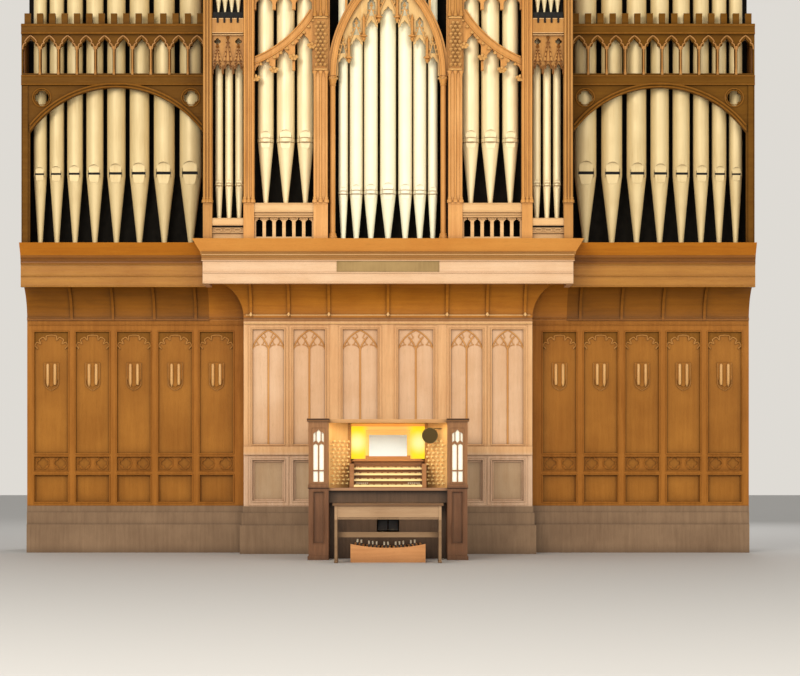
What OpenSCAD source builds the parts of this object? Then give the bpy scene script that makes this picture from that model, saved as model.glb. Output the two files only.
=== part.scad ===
// Church pipe organ: a panelled oak case with a coved jetty, a tall centre of
// three divisions, two wings of large pipes, and a free-standing console.
// Lengths are in millimetres. X runs to the right, Y to the back, Z up.
// The origin is on the floor, under the middle of the whole instrument.

/* [Case] */
// Half of the case's width, over the end walls of the wings
case_half = 4480; // [4000:10:5200]
// Half of the width of the forward centre of the base
centre_half = 1760; // [1500:10:2000]
// Depth of the wings, from the front of their screen to the back of the case
case_depth = 1500; // [1000:10:2200]
// Reach of the cove, and step of the centre ahead of the wings
jetty = 460; // [380:5:540]
// Thickness of the screens' framing
frame_board = 28; // [20:1:40]
// Thickness of the tracery layer behind the framing
tracery_board = 16; // [10:1:30]
// Thickness of the panels behind the tracery
panel_board = 20; // [12:1:30]
// Thickness of the plain walls, roofs and backing boards
wall_board = 30; // [20:1:50]

/* [Heights of the base] */
// Height of the plinth
plinth_height = 350; // [200:10:500]
// Height of the sloped band above the plinth
band_height = 150; // [80:5:220]
// Height of the cap moulding under the lower panels
cap_height = 80; // [40:5:120]
// Height of the lower panels of the centre
lower_panel_height = 630; // [450:10:800]
// Height of the dado rail
dado_height = 100; // [60:5:140]
// Height of the upper panels with the rail over them
upper_panel_height = 1495; // [1200:5:1800]
// Height of the frieze between the panels and the cove
frieze_height = 75; // [40:5:120]
// How far the plinth stands out
plinth_out = 45; // [20:5:80]

/* [Screens of the base] */
// Width of the stile in the middle of the centre
middle_stile = 240; // [160:10:300]
// Width of the two panels beside the middle
inner_panel = 440; // [360:10:520]
// Width of the stile beyond the inner panels
wide_stile = 200; // [120:10:260]
// Width of the outer panels
outer_panel = 400; // [320:10:460]
// Width of the stile between the outer panels
narrow_stile = 100; // [60:5:140]
// Number of panels in each wing
wing_panels = 5; // [3:1:7]
// Width of the stiles between the wing panels
wing_stile = 84; // [50:2:120]
// Width of the hidden edge stile beside the centre
wing_edge = 71; // [40:1:120]
// Width of the thin mullion in each panel
mullion = 22; // [12:1:40]
// Height of the carved strip low in the wings
wing_strip = 200; // [120:10:260]
// Width of a shield
shield_width = 180; // [120:5:240]
// Thickness of a shield
shield_board = 16; // [8:1:30]

/* [Cove and cornice] */
// Width of a cove rib
rib_width = 34; // [20:1:60]
// Depth of a cove rib
rib_depth = 24; // [12:1:40]
// How far the fascia hangs below the top of the cove
fascia_drop = 83; // [40:1:140]
// Height of the lower fascia
lower_fascia = 132; // [90:2:180]
// Height of the upper fascia
upper_fascia = 148; // [100:2:200]
// Height of the hollow moulding
hollow_height = 103; // [60:1:140]
// Height of the splayed board
splay_height = 147; // [90:1:200]
// How far the splayed board leans out
splay_out = 120; // [60:5:180]
// Thickness of the fascia
fascia_board = 70; // [40:5:100]
// Thickness of the pipe deck
deck_board = 40; // [25:1:60]
// Width of the blank brass plate
plate_width = 1228; // [600:2:1600]
// Height of the blank brass plate
plate_height = 136; // [80:2:144]
// Thickness of the blank brass plate
plate_thick = 4; // [2:1:8]

/* [Upper centre] */
// Half width of the middle opening
middle_opening = 611; // [500:1:700]
// Width of the space for a colonnette
colonnette_space = 111; // [80:1:140]
// Width of a carved pier
pier_width = 172; // [120:1:220]
// Share of a narrow bay in the width that the piers and posts leave
narrow_share = 0.3468; // [0.3:0.0001:0.4]
// Width of the outermost post
outer_post = 108; // [80:1:140]
// Width of the post between the bays
post_width = 128; // [90:1:160]
// Depth of the posts
post_depth = 110; // [80:1:140]
// How far the posts stand behind the fascia
post_set = 50; // [20:1:90]
// How far the screens stand behind the posts' fronts
screen_set = 25; // [10:1:40]
// Thickness of the upper screens
screen_board = 56; // [40:1:70]
// Height of the centre above the deck
centre_height = 3530; // [3300:10:3800]
// Height of the spring of the middle arch above the deck
arch_spring = 1995; // [1800:5:2200]
// Radius of each side of the middle arch
arch_radius = 1490; // [1300:10:1700]
// Height of the bay sill above the deck
bay_sill = 463; // [360:1:560]
// Height of the three-pipe bays' head above the deck
bay_head = 2790; // [2600:5:2900]
// Height of the narrow sill above the deck
narrow_sill = 281; // [200:1:360]
// Height of the head of a narrow bay above the deck
narrow_head = 2030; // [1800:5:2200]
// Height of the gabled screen at the head of a narrow bay
narrow_gable = 477; // [400:1:540]
// Height of the plain band over that screen
narrow_band = 174; // [120:1:220]
// Height of the top moulding
top_height = 160; // [100:5:220]
// Height of the pinnacles
pinnacle_height = 600; // [300:10:700]

/* [Upper wings] */
// Width of the end post of a wing
end_post = 100; // [60:5:140]
// Width of the hidden post beside the centre
inner_post = 40; // [30:1:60]
// Height of the crown of the wing arch above the deck
wing_crown = 1930; // [1700:5:2100]
// Rise of the wing arch
wing_rise = 550; // [400:5:700]
// Height of the beam over the wing arch
beam_height = 134; // [90:1:180]
// Height of the arcade over the beam
arcade_height = 493; // [380:1:600]
// Number of arches in the arcade
arcade_count = 10; // [6:1:14]
// Height of the upper beam
upper_beam = 130; // [80:1:180]
// Height of the battlements
battlement = 130; // [80:1:180]
// Number of battlements in a wing
battlement_count = 15; // [9:1:21]

/* [Pipes] */
// Distance from a screen's front to the axes of its pipes
pipe_row = 220; // [190:5:260]
// Distance from a screen's front to its backing boards
backing_set = 380; // [360:5:440]
// Share of the largest wing pipe in an eighth of the wing's opening
wing_pipe_share = 1.026; // [0.9:0.002:1.05]
// Fall in that share from one wing pipe to the next
wing_pipe_fall = 0.06; // [0.03:0.005:0.08]
// Share of the distance between the first two wing pipes
wing_pitch_share = 1.23; // [1.15:0.01:1.28]
// Fall in that share from one pipe to the next
wing_pitch_fall = 0.077; // [0.05:0.001:0.09]
// Share of the first wing pipe's distance from the hidden post
wing_start_share = 0.645; // [0.58:0.005:0.7]
// Number of pipes in a wing
wing_pipes = 8; // [5:1:8]
// Height of a wing pipe's mouth above the deck
wing_mouth = 880; // [700:5:1000]
// How far the longest wing pipe stops below the top of the centre
wing_pipe_short = 60; // [20:5:300]
// Height of a middle pipe's mouth above the deck
middle_mouth = 605; // [450:5:760]
// Height of a bay pipe's mouth above its sill
bay_mouth = 765; // [600:5:900]
// Height of a narrow bay pipe's mouth above its sill
narrow_mouth = 425; // [300:5:560]
// Thickness of the pipes' metal
pipe_wall = 4; // [2:1:6]
// Diameter of the pipes' toes
toe = 50; // [30:1:70]

/* [Console] */
// Gap between the case and the console's back
console_gap = 600; // [400:10:900]
// Depth of the console
console_depth = 1140; // [900:10:1300]
// Half width of the console
console_half = 903; // [820:1:1000]
// Width of a console pier
console_pier = 227; // [180:1:270]
// Height of the console under its crown
console_height = 1575; // [1450:5:1700]
// Thickness of the console's crown
crown_board = 35; // [24:1:50]
// Height of the console's plinth
console_plinth = 40; // [20:5:80]
// Height of the top of the key desk
desk_height = 820; // [760:5:880]
// Width of the keyboards between the cheeks
manual_width = 780; // [740:1:860]
// Number of keyboards
manual_count = 4; // [2:1:4]
// Rise from one keyboard to the next
manual_rise = 66; // [56:1:74]
// Step back from one keyboard to the next
manual_step = 105; // [96:1:120]
// Number of natural keys in a keyboard
natural_keys = 34; // [29:1:36]

/* [Pedals and bench] */
// Width of the pedalboard
pedal_width = 830; // [800:10:1000]
// Length of the pedalboard ahead of the console
pedal_length = 640; // [560:10:700]
// Number of natural pedals
natural_pedals = 18; // [15:1:19]
// Height of the pedalboard's heel board at its ends
heel_height = 206; // [160:2:240]
// Half width of the bench
bench_half = 610; // [520:5:680]
// Height of the bench
bench_height = 655; // [560:5:720]
// Width of the seat, front to back
seat_width = 350; // [280:5:400]
// Distance from the console's front to the bench's far edge
bench_reach = 800; // [720:5:900]

/* [Hidden] */
$fn = 64;
fine = 360;

// Planes across the depth, from the back of the case to the front of the bench.
front_reach = jetty + console_gap + console_depth + bench_reach;
y_wing = (front_reach - case_depth) / 2;
y_centre = y_wing - jetty;
y_fascia = y_centre - jetty;
y_back = y_wing + case_depth;
y_console_back = y_centre - console_gap;
y_console = y_console_back - console_depth;
screen = frame_board + tracery_board;

// Levels of the base.
z_band = plinth_height;
z_cap = z_band + band_height;
z_lower = z_cap + cap_height;
z_dado = z_lower + lower_panel_height;
z_upper = z_dado + dado_height;
z_frame = z_upper + upper_panel_height;
z_cove = z_frame + frieze_height;
z_cove_top = z_cove + jetty;
z_fascia = z_cove_top - fascia_drop;
z_line = z_fascia + lower_fascia;
z_hollow = z_line + upper_fascia;
z_splay = z_hollow + hollow_height;
z_lip = z_splay + splay_height;
z_ledge = z_lip - 60;
z_deck = z_ledge + deck_board;

// Half widths of the base centre's panels, from the middle outwards.
bay_starts = [
    middle_stile / 2,
    middle_stile / 2 + inner_panel + wide_stile,
    middle_stile / 2 + inner_panel + wide_stile + outer_panel + narrow_stile
];
bay_sizes = [inner_panel, outer_panel, outer_panel];
wing_pitch = (case_half - centre_half - wing_edge - wing_stile) / wing_panels;
wing_opening = wing_pitch - wing_stile;
fascia_half = centre_half + jetty;

// Places across the upper centre.
x_colonnette = middle_opening + colonnette_space;
x_pier = x_colonnette + pier_width;
bays_width = fascia_half - outer_post - post_width - x_pier;
narrow_width = round(bays_width * narrow_share);
bay_width = bays_width - narrow_width;
x_bay = x_pier + bay_width;
x_post = x_bay + post_width;
x_narrow = x_post + narrow_width;
y_post = y_fascia + post_set;
y_screen = y_post + screen_set;
y_backing = y_post + backing_set;
y_pipes = y_post + pipe_row;
z_top = z_deck + centre_height;

// Places in the upper wings.
y_wing_screen = y_centre + post_set;
y_wing_pipes = y_wing_screen + pipe_row;
y_wing_backing = y_wing_screen + backing_set;
x_wing = fascia_half + inner_post;
x_wing_end = case_half - end_post;
wing_span = x_wing_end - x_wing;
z_crown = z_deck + wing_crown;
wing_radius = (pow(wing_span / 2, 2) + pow(wing_rise, 2)) / (2 * wing_rise);
z_beam = z_crown + 20;
z_arcade = z_beam + beam_height;
z_upper_beam = z_arcade + arcade_height;
z_battlement = z_upper_beam + upper_beam;
z_wing_top = z_upper_beam;

// Places in the console.
x_cheek = console_half - console_pier;
y_knee = y_console + 420;
z_manual = desk_height + 12;

// A block between two corners.
module block(x0, x1, y0, y1, z0, z1) {
    translate([x0, y0, z0]) cube([x1 - x0, y1 - y0, z1 - z0]);
}

// The same thing on the left and on the right.
module both() {
    children();
    mirror([1, 0, 0]) children();
}

// An outline in X and Z made into a wall from y0 to y1.
module wall(y0, y1) {
    translate([0, y1, 0]) rotate([90, 0, 0]) linear_extrude(y1 - y0) children();
}

// An outline in Y and Z made into a bar from x0 to x1.
module bar(x0, x1) {
    translate([x0, 0, 0]) rotate([90, 0, 90]) linear_extrude(x1 - x0) children();
}

// A rectangle between two corners.
module area(x0, x1, z0, z1) {
    translate([x0, z0]) square([x1 - x0, z1 - z0]);
}

// A pointed head over a spring line, w wide, each side an arc of radius r.
module pointed(w, r) {
    intersection() {
        translate([r - w / 2, 0]) circle(r, $fn = fine);
        translate([w / 2 - r, 0]) circle(r, $fn = fine);
        translate([-w, 0]) square([2 * w, 2 * w]);
    }
}

// A light with a three-lobed head, w wide, from its foot up to the spring.
module light(w, foot, spring) {
    area(-w / 2, w / 2, foot, spring);
    for (side = [-1, 1]) translate([side * w / 4, spring]) circle(w / 4);
    translate([0, spring + w * 0.27]) circle(w * 0.3);
    polygon([[-w * 0.2, spring + w * 0.45], [w * 0.2, spring + w * 0.45], [0, spring + w * 0.72]]);
}

// A ring of lobes round a centre.
module foils(count, lobe) {
    for (i = [0 : count - 1]) rotate(i * 360 / count) translate([lobe * 1.05, 0]) circle(lobe);
    circle(lobe * 0.9);
}

// The plan of the base, grown outwards by out.
module base_plan(out) {
    translate([-case_half, y_wing - out]) square([2 * case_half, case_depth + out]);
    translate([-centre_half - out, y_centre - out]) square([2 * (centre_half + out), jetty + out]);
}

module plinth() {
    color("saddlebrown") {
        linear_extrude(z_band) base_plan(plinth_out);
        translate([0, 0, z_band]) linear_extrude(band_height) base_plan(plinth_out * 0.55);
        translate([0, 0, z_cap]) linear_extrude(cap_height) base_plan(plinth_out * 0.25);
    }
}

// Two lights under a pointed head with a four-lobed eye, w wide.
module blind_tracery(w, foot, top) {
    light_w = (w - mullion) / 2;
    spring = top - w * 0.6;
    for (side = [-1, 1]) translate([side * (light_w + mullion) / 2, 0]) light(light_w, foot, spring);
    translate([0, top - w * 0.21]) foils(4, w * 0.055);
}

module centre_screen() {
    color("burlywood") {
        wall(y_centre, y_centre + frame_board) difference() {
            area(-centre_half, centre_half, z_lower, z_cove);
            for (side = [-1, 1]) for (i = [0 : 2]) {
                x = side * (bay_starts[i] + bay_sizes[i] / 2);
                half = bay_sizes[i] / 2;
                area(x - half, x + half, z_lower + 60, z_dado - 60);
                area(x - half, x + half, z_upper + 20, z_frame - 60);
            }
        }
        wall(y_centre + frame_board, y_centre + screen) difference() {
            area(-centre_half, centre_half, z_lower, z_cove);
            for (side = [-1, 1]) for (i = [0 : 2]) {
                x = side * (bay_starts[i] + bay_sizes[i] / 2);
                half = bay_sizes[i] / 2;
                area(x - half + 30, x + half - 30, z_lower + 90, z_dado - 90);
                translate([x, 0]) blind_tracery(bay_sizes[i] - 16, z_upper + 36, z_frame - 70);
            }
        }
        block(-centre_half, centre_half, y_centre - 22, y_centre, z_dado, z_upper);
        block(-centre_half, centre_half, y_centre - 14, y_centre, z_frame, z_frame + 30);
    }
}

module centre_panels() {
    color("tan")
        block(-centre_half, centre_half, y_centre + screen, y_centre + screen + panel_board, z_lower, z_cove);
}

module centre_returns() {
    color("burlywood")
        both() difference() {
            block(centre_half - screen, centre_half, y_centre + screen + panel_board, y_wing, z_lower, z_cove);
            block(centre_half - 16, centre_half + 1, y_centre + 130, y_wing - 60, z_lower + 60, z_dado - 30);
            block(centre_half - 16, centre_half + 1, y_centre + 130, y_wing - 60, z_upper + 20, z_frame - 60);
        }
}

// Middles of the wing panels, counted from the centre.
function wing_x(i) = centre_half + wing_edge + wing_stile / 2 + wing_pitch * (i + 0.5);

module wing_screens() {
    z_strip = z_dado - wing_strip;
    color("peru")
        both() {
            wall(y_wing, y_wing + frame_board) difference() {
                area(centre_half, case_half, z_lower, z_cove);
                for (i = [0 : wing_panels - 1]) {
                    left = wing_x(i) - wing_opening / 2;
                    area(left, left + wing_opening, z_lower + 40, z_strip - 40);
                    area(left, left + wing_opening, z_strip, z_dado - 16);
                    area(left, left + wing_opening, z_dado + 16, z_frame - 60);
                }
            }
            wall(y_wing + frame_board, y_wing + screen) difference() {
                area(centre_half, case_half, z_lower, z_cove);
                for (i = [0 : wing_panels - 1]) translate([wing_x(i), 0]) {
                    area(20 - wing_opening / 2, wing_opening / 2 - 20, z_lower + 60, z_strip - 60);
                    for (side = [-1, 1]) translate([side * wing_opening / 4, z_dado - wing_strip / 2])
                        foils(4, wing_strip * 0.17);
                    blind_tracery(wing_opening - 20, z_dado + 30, z_frame - 66);
                }
            }
        }
}

module wing_panel_boards() {
    color("peru")
        both() block(centre_half, case_half, y_wing + screen, y_wing + screen + panel_board, z_lower, z_cove);
}

// A heater shield, w wide, with its top edge at 0.
module shield(w) {
    area(-w / 2, w / 2, -w * 0.8, 0);
    translate([0, -w * 0.8]) mirror([0, 1]) pointed(w, w);
}

module shields() {
    top = z_frame - 450;
    front = y_wing + frame_board - shield_board;
    color("sienna")
        both() for (i = [0 : wing_panels - 1]) translate([wing_x(i), 0, 0]) {
            wall(front, y_wing + frame_board) translate([0, top]) shield(shield_width);
            for (side = [-1, 1]) translate([side * shield_width * 0.17, 0, 0])
                wall(front - 6, front) translate([0, top]) area(-9, 9, -shield_width * 1.25, -22);
        }
}

// The hollow under a cove: a round of the jetty's radius along X, with its axis at y.
module cove_round(y, x0, x1, r) {
    translate([x0, y, z_cove]) rotate([0, 90, 0]) cylinder(h = x1 - x0, r = r, $fn = fine);
}

module side_round(r) {
    translate([fascia_half, y_fascia - 1, z_cove]) rotate([-90, 0, 0])
        cylinder(h = 2 * jetty + 2, r = r, $fn = fine);
}

// Ribs follow the cove, so each is a ring of the cove's radius.
module cove_rib(x, y) {
    intersection() {
        difference() {
            cove_round(y, x - rib_width / 2, x + rib_width / 2, jetty);
            cove_round(y, x - rib_width, x + rib_width, jetty - rib_depth);
        }
        block(x - rib_width, x + rib_width, y + fascia_board, y + jetty, z_cove, z_cove_top);
    }
}

rib_places = [0, 720, 1210, 1670];

// The cove stops behind the fascia, which hangs down over its top.
module cove_centre() {
    inside = fascia_half - fascia_board;
    y_behind = y_centre + fascia_board;
    color("burlywood") {
        difference() {
            block(-inside, inside, y_fascia + fascia_board, y_centre, z_cove, z_cove_top);
            cove_round(y_fascia, -fascia_half - 1, fascia_half + 1, jetty);
            both() side_round(jetty);
        }
        both() difference() {
            union() {
                block(centre_half, inside, y_centre, y_behind, z_cove, z_cove_top);
                block(centre_half, fascia_half, y_behind, y_wing, z_cove, z_cove_top);
            }
            intersection() {
                side_round(jetty);
                cove_round(y_centre, centre_half - 1, fascia_half + 1, jetty);
            }
        }
        cove_rib(0, y_fascia);
        both() for (i = [1 : 3]) cove_rib(rib_places[i], y_fascia);
        block(-centre_half, centre_half, y_centre - 18, y_centre, z_cove, z_cove + 34);
    }
}

module wing_coves() {
    color("peru")
        both() {
            difference() {
                block(fascia_half, case_half, y_centre + fascia_board, y_wing, z_cove, z_cove_top);
                cove_round(y_centre, fascia_half - 1, case_half + 1, jetty);
            }
            for (i = [1 : wing_panels - 1])
                cove_rib(centre_half + wing_edge + wing_stile / 2 + wing_pitch * i, y_centre);
            block(fascia_half, case_half, y_wing - 18, y_wing, z_cove, z_cove + 34);
        }
}

// The cornice's outline in depth and height, filled inwards as far as deep.
module cornice_outer(deep) {
    difference() {
        polygon([
            [0, z_fascia], [0, z_line], [6, z_line], [6, z_line + 6], [0, z_line + 6], [0, z_hollow],
            [-12, z_hollow], [-30, z_splay], [-splay_out, z_lip], [deep, z_lip], [deep, z_fascia]
        ]);
        translate([-12 - hollow_height * 0.8, z_hollow + hollow_height * 0.3]) circle(hollow_height * 0.8);
    }
}

// The room inside the cornice, for the deck and what stands on it.
module cornice_inner(deep) {
    polygon([
        [fascia_board, z_fascia - 1], [fascia_board, z_ledge], [0, z_ledge],
        [30 - splay_out, z_lip], [30 - splay_out, z_lip + 1], [deep + 1, z_lip + 1], [deep + 1, z_fascia - 1]
    ]);
}

module centre_outer_sides() {
    wall(y_fascia - splay_out - 1, y_wing)
        both() mirror([1, 0]) translate([-fascia_half, 0]) cornice_outer(fascia_half + 1);
}

module centre_inner_sides() {
    wall(y_fascia - splay_out - 2, y_wing + 1)
        both() mirror([1, 0]) translate([-fascia_half, 0]) cornice_inner(fascia_half + 1);
}

module cornice_centre() {
    reach = fascia_half + splay_out + 1;
    y_end = y_centre + fascia_board;
    color("burlywood")
        difference() {
            intersection() {
                bar(-reach, reach) translate([y_fascia, 0]) cornice_outer(y_end - y_fascia);
                centre_outer_sides();
            }
            intersection() {
                bar(-reach - 1, reach + 1) translate([y_fascia, 0]) cornice_inner(y_end - y_fascia);
                centre_inner_sides();
            }
            both() bar(fascia_half, reach + 1) translate([y_centre, 0]) cornice_inner(jetty);
            both() block(fascia_half, reach + 1, y_centre, y_wing, z_fascia - 1, z_ledge);
        }
}

module wing_cornices() {
    color("peru")
        both() difference() {
            bar(fascia_half, case_half) translate([y_centre, 0]) difference() {
                cornice_outer(jetty - 10);
                cornice_inner(jetty - 10);
            }
            centre_outer_sides();
        }
}

module brass_plate() {
    color("goldenrod")
        block(-plate_width / 2, plate_width / 2, y_fascia - plate_thick, y_fascia,
            z_line + 6, z_line + 6 + plate_height);
}

module side_walls() {
    color("peru")
        both() difference() {
            block(case_half - wall_board, case_half, y_wing + screen + panel_board, y_back, z_lower, z_ledge);
            for (i = [0 : 2]) {
                y = y_wing + 150 + i * (case_depth - 200) / 3;
                wide = (case_depth - 200) / 3 - 110;
                block(case_half - 12, case_half + 1, y, y + wide, z_lower + 60, z_dado - 60);
                block(case_half - 12, case_half + 1, y, y + wide, z_upper, z_frame - 60);
            }
        }
}

module back_wall() {
    color("peru")
        difference() {
            block(
                -case_half + wall_board, case_half - wall_board, y_back - wall_board, y_back,
                z_lower, z_ledge
            );
            for (side = [-1, 1]) for (i = [0 : wing_panels - 1]) {
                pitch = (case_half - wall_board) / wing_panels;
                x = side * (pitch * (i + 0.5));
                block(
                    x - pitch / 2 + 60, x + pitch / 2 - 60, y_back - 12, y_back + 1,
                    z_lower + 60, z_dado - 60
                );
                block(x - pitch / 2 + 60, x + pitch / 2 - 60, y_back - 12, y_back + 1, z_upper, z_frame - 60);
            }
        }
}

// The deck carries all the pipes and rests on the cornices and the walls.
module pipe_deck() {
    color("saddlebrown")
        translate([0, 0, z_ledge]) linear_extrude(deck_board) {
            translate([-case_half, y_centre]) square([2 * case_half, y_back - y_centre]);
            translate([-fascia_half, y_fascia]) square([2 * fascia_half, jetty]);
        }
}

module tower_sides() {
    color("peru")
        both() {
            block(fascia_half - wall_board, fascia_half, y_post + post_depth, y_back, z_deck, z_top);
        }
}

module wing_ends() {
    color("peru")
        both() difference() {
            block(case_half - wall_board, case_half, y_wing_screen + screen_board, y_back, z_deck, z_wing_top);
            for (i = [0 : 2]) {
                y = y_wing_screen + 200 + i * (case_depth - 100) / 3;
                wide = (case_depth - 100) / 3 - 110;
                block(case_half - 12, case_half + 1, y, y + wide, z_deck + 80, z_crown);
            }
        }
}

module backing_boards() {
    inner = fascia_half - wall_board;
    color("dimgray") {
        block(-inner, inner, y_backing, y_backing + panel_board, z_deck, z_top);
        both() block(fascia_half, case_half - wall_board, y_wing_backing, y_wing_backing + panel_board,
            z_deck, z_wing_top);
    }
}

module chamber_back() {
    inner = fascia_half - wall_board;
    color("peru") {
        block(-inner, inner, y_back - wall_board, y_back, z_deck, z_top);
        both() block(fascia_half, case_half - wall_board, y_back - wall_board, y_back, z_deck, z_wing_top);
    }
}

module chamber_roofs() {
    color("saddlebrown") {
        block(-fascia_half, fascia_half, y_post + post_depth, y_back, z_top, z_top + wall_board);
        both() block(fascia_half, case_half, y_wing_backing, y_back, z_wing_top, z_wing_top + wall_board);
    }
}

// A post with a moulded foot and a band at the sill's level.
module post(x0, x1, top) {
    block(x0, x1, y_post, y_post + post_depth, z_deck, top);
    block(x0, x1, y_post - 14, y_post, z_deck, z_deck + bay_sill);
    block(x0 + 24, x1 - 24, y_post - 10, y_post, z_deck + bay_sill, top);
}

module outer_posts() {
    color("burlywood") both() post(x_narrow, fascia_half, z_top);
}

module bay_posts() {
    color("burlywood") both() post(x_bay, x_post, z_top);
}

module arch_piers() {
    color("burlywood") both() post(x_colonnette, x_pier, z_top);
}

// A round shaft with turned rings for its base, band and capital.
module colonnettes() {
    shaft = colonnette_space / 2 - 22;
    height = arch_spring;
    rings = [
        [0, 0], [shaft + 20, 0], [shaft + 20, 60], [shaft + 12, 72], [shaft + 12, 96], [shaft, 110],
        [shaft, height - 120], [shaft + 8, height - 112], [shaft + 2, height - 100],
        [shaft + 20, height - 34], [shaft + 20, height], [0, height]
    ];
    color("burlywood")
        both() translate([middle_opening + colonnette_space / 2, y_post + post_depth / 2, z_deck])
            rotate_extrude() polygon(rings);
}

spandrel_foot = 400;

module centre_arch() {
    z_spring = z_deck + arch_spring;
    color("burlywood") {
        wall(y_screen, y_screen + screen_board) difference() {
            area(-x_colonnette, x_colonnette, z_spring, z_top);
            translate([0, z_spring - 0.01]) pointed(2 * middle_opening + 30, arch_radius);
            for (side = [0, 1]) mirror([side, 0]) difference() {
                area(spandrel_foot, x_colonnette - 20, z_spring + 210, z_top - 330);
                translate([0, z_spring]) pointed(2 * middle_opening + 230, arch_radius + 100);
                area(spandrel_foot + 90, spandrel_foot + 116, z_spring, z_top);
            }
        }
        wall(y_post - 8, y_screen) difference() {
            translate([0, z_spring]) pointed(2 * middle_opening + 140, arch_radius + 55);
            translate([0, z_spring - 0.01]) pointed(2 * middle_opening + 30, arch_radius);
        }
    }
}

// Small arches between pendants, which step up from the sides to the middle.
canopy_places = [110, 290, 470];
canopy_springs = [700, 560, 350, 150];
pendant_ends = [640, 430, 180];
canopy_lights = [96, 92, 60];
canopy_tops = [870, 645, 345];

module arch_canopy() {
    z_spring = z_deck + arch_spring;
    edges = [-canopy_places[0], canopy_places[0], canopy_places[1], canopy_places[2], middle_opening];
    color("burlywood")
        wall(y_screen + 10, y_screen + screen_board - 14) translate([0, z_spring]) difference() {
            intersection() {
                translate([0, -0.01]) pointed(2 * middle_opening + 30, arch_radius);
                area(-x_colonnette, x_colonnette, 0, centre_height);
            }
            for (side = [-1, 1]) for (i = [0 : 3])
                translate([side * (edges[i] + edges[i + 1]) / 2, 0])
                    light(edges[i + 1] - edges[i] - 26, -10, canopy_springs[i]);
            for (side = [-1, 1]) for (i = [0 : 2])
                translate([side * canopy_places[i], 0]) area(-14, 14, -10, pendant_ends[i]);
            translate([0, 1000]) foils(4, 38);
            for (side = [-1, 1]) for (i = [0 : 2])
                translate([side * (canopy_places[i] + edges[i + 2]) / 2, 0])
                    light(canopy_lights[i], canopy_springs[i + 1] + 160 - 20 * i, canopy_tops[i]);
        }
}

// The swept half arch over a three-pipe bay, and the cusped heads under it.
rake_radius = 2.0225 * bay_width;
rake_board = 86;
rake_centre = [x_pier + 1.74 * bay_width, bay_head + 1.018 * bay_width];
bay_pipe_places = [0.148, 0.482, 0.822] * bay_width;

module bay_rakes() {
    edges = [0, 0.336, 0.667, 1] * bay_width + [1, 1, 1, 1] * x_pier;
    springs = [440, 620, 720];
    foot = bay_head - 730;
    color("burlywood")
        both() wall(y_screen, y_screen + screen_board) translate([0, z_deck]) {
            intersection() {
                area(x_pier, x_bay, foot - 160, bay_head);
                difference() {
                    translate(rake_centre) circle(rake_radius + rake_board / 2, $fn = fine);
                    translate(rake_centre) circle(rake_radius - rake_board / 2, $fn = fine);
                }
            }
            difference() {
                area(x_pier, x_bay, foot, bay_head - 70);
                translate(rake_centre) circle(rake_radius + rake_board / 2 - 2, $fn = fine);
                for (i = [0 : 2]) {
                    wide = edges[i + 1] - edges[i];
                    translate([(edges[i] + edges[i + 1]) / 2, 0])
                        light(wide - 30, foot - 60, bay_head - springs[i]);
                }
            }
        }
}

module bay_heads() {
    lights = 3;
    pitch = bay_width / lights;
    color("burlywood")
        both() wall(y_screen, y_screen + screen_board) difference() {
            area(x_pier, x_bay, z_deck + bay_head, z_top);
            for (i = [0 : lights - 1]) translate([x_pier + pitch * (i + 0.5), 0]) {
                light(pitch - 40, z_deck + bay_head - 10, z_deck + bay_head + 70);
                translate([0, z_top - 370]) foils(4, 42);
                translate([0, z_top - 130]) foils(4, 30);
            }
        }
}

module bay_sills() {
    lancets = 6;
    pitch = bay_width / lancets;
    color("burlywood")
        both() {
            block(x_pier, x_bay, y_post, y_backing, z_deck + bay_sill - 100, z_deck + bay_sill);
            block(x_pier, x_bay, y_screen - 10, y_screen + screen_board, z_deck + bay_sill - 160,
                z_deck + bay_sill - 100);
            wall(y_screen, y_screen + screen_board) difference() {
                area(x_pier, x_bay, z_deck, z_deck + bay_sill - 160);
                for (i = [0 : lancets - 1]) translate([x_pier + pitch * (i + 0.5), z_deck])
                    light(pitch - 40, 60, bay_sill - 228);
            }
        }
}

// A deep slot runs under the sill board of a narrow bay.
sill_slot = 26;

module narrow_sills() {
    y_out = y_post + post_depth;
    z_slot = z_deck + narrow_sill - 116;
    color("burlywood")
        both() {
            block(x_post, x_narrow, y_post, y_backing, z_slot + sill_slot, z_deck + narrow_sill);
            block(x_post, x_narrow, y_screen + 50, y_out, z_slot, z_slot + sill_slot);
            block(x_post, x_narrow, y_screen - 6, y_out, z_deck + 110, z_slot);
            block(x_post, x_narrow, y_screen + 8, y_out, z_deck, z_deck + 110);
        }
}

// A steep gable with its foot at 0, w wide and h high.
module gablet(w, h) {
    polygon([[-w / 2, 0], [w / 2, 0], [0, h]]);
}

// The middle gable of a narrow bay is the highest.
gablet_heights = [180, 240, 180];

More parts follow.
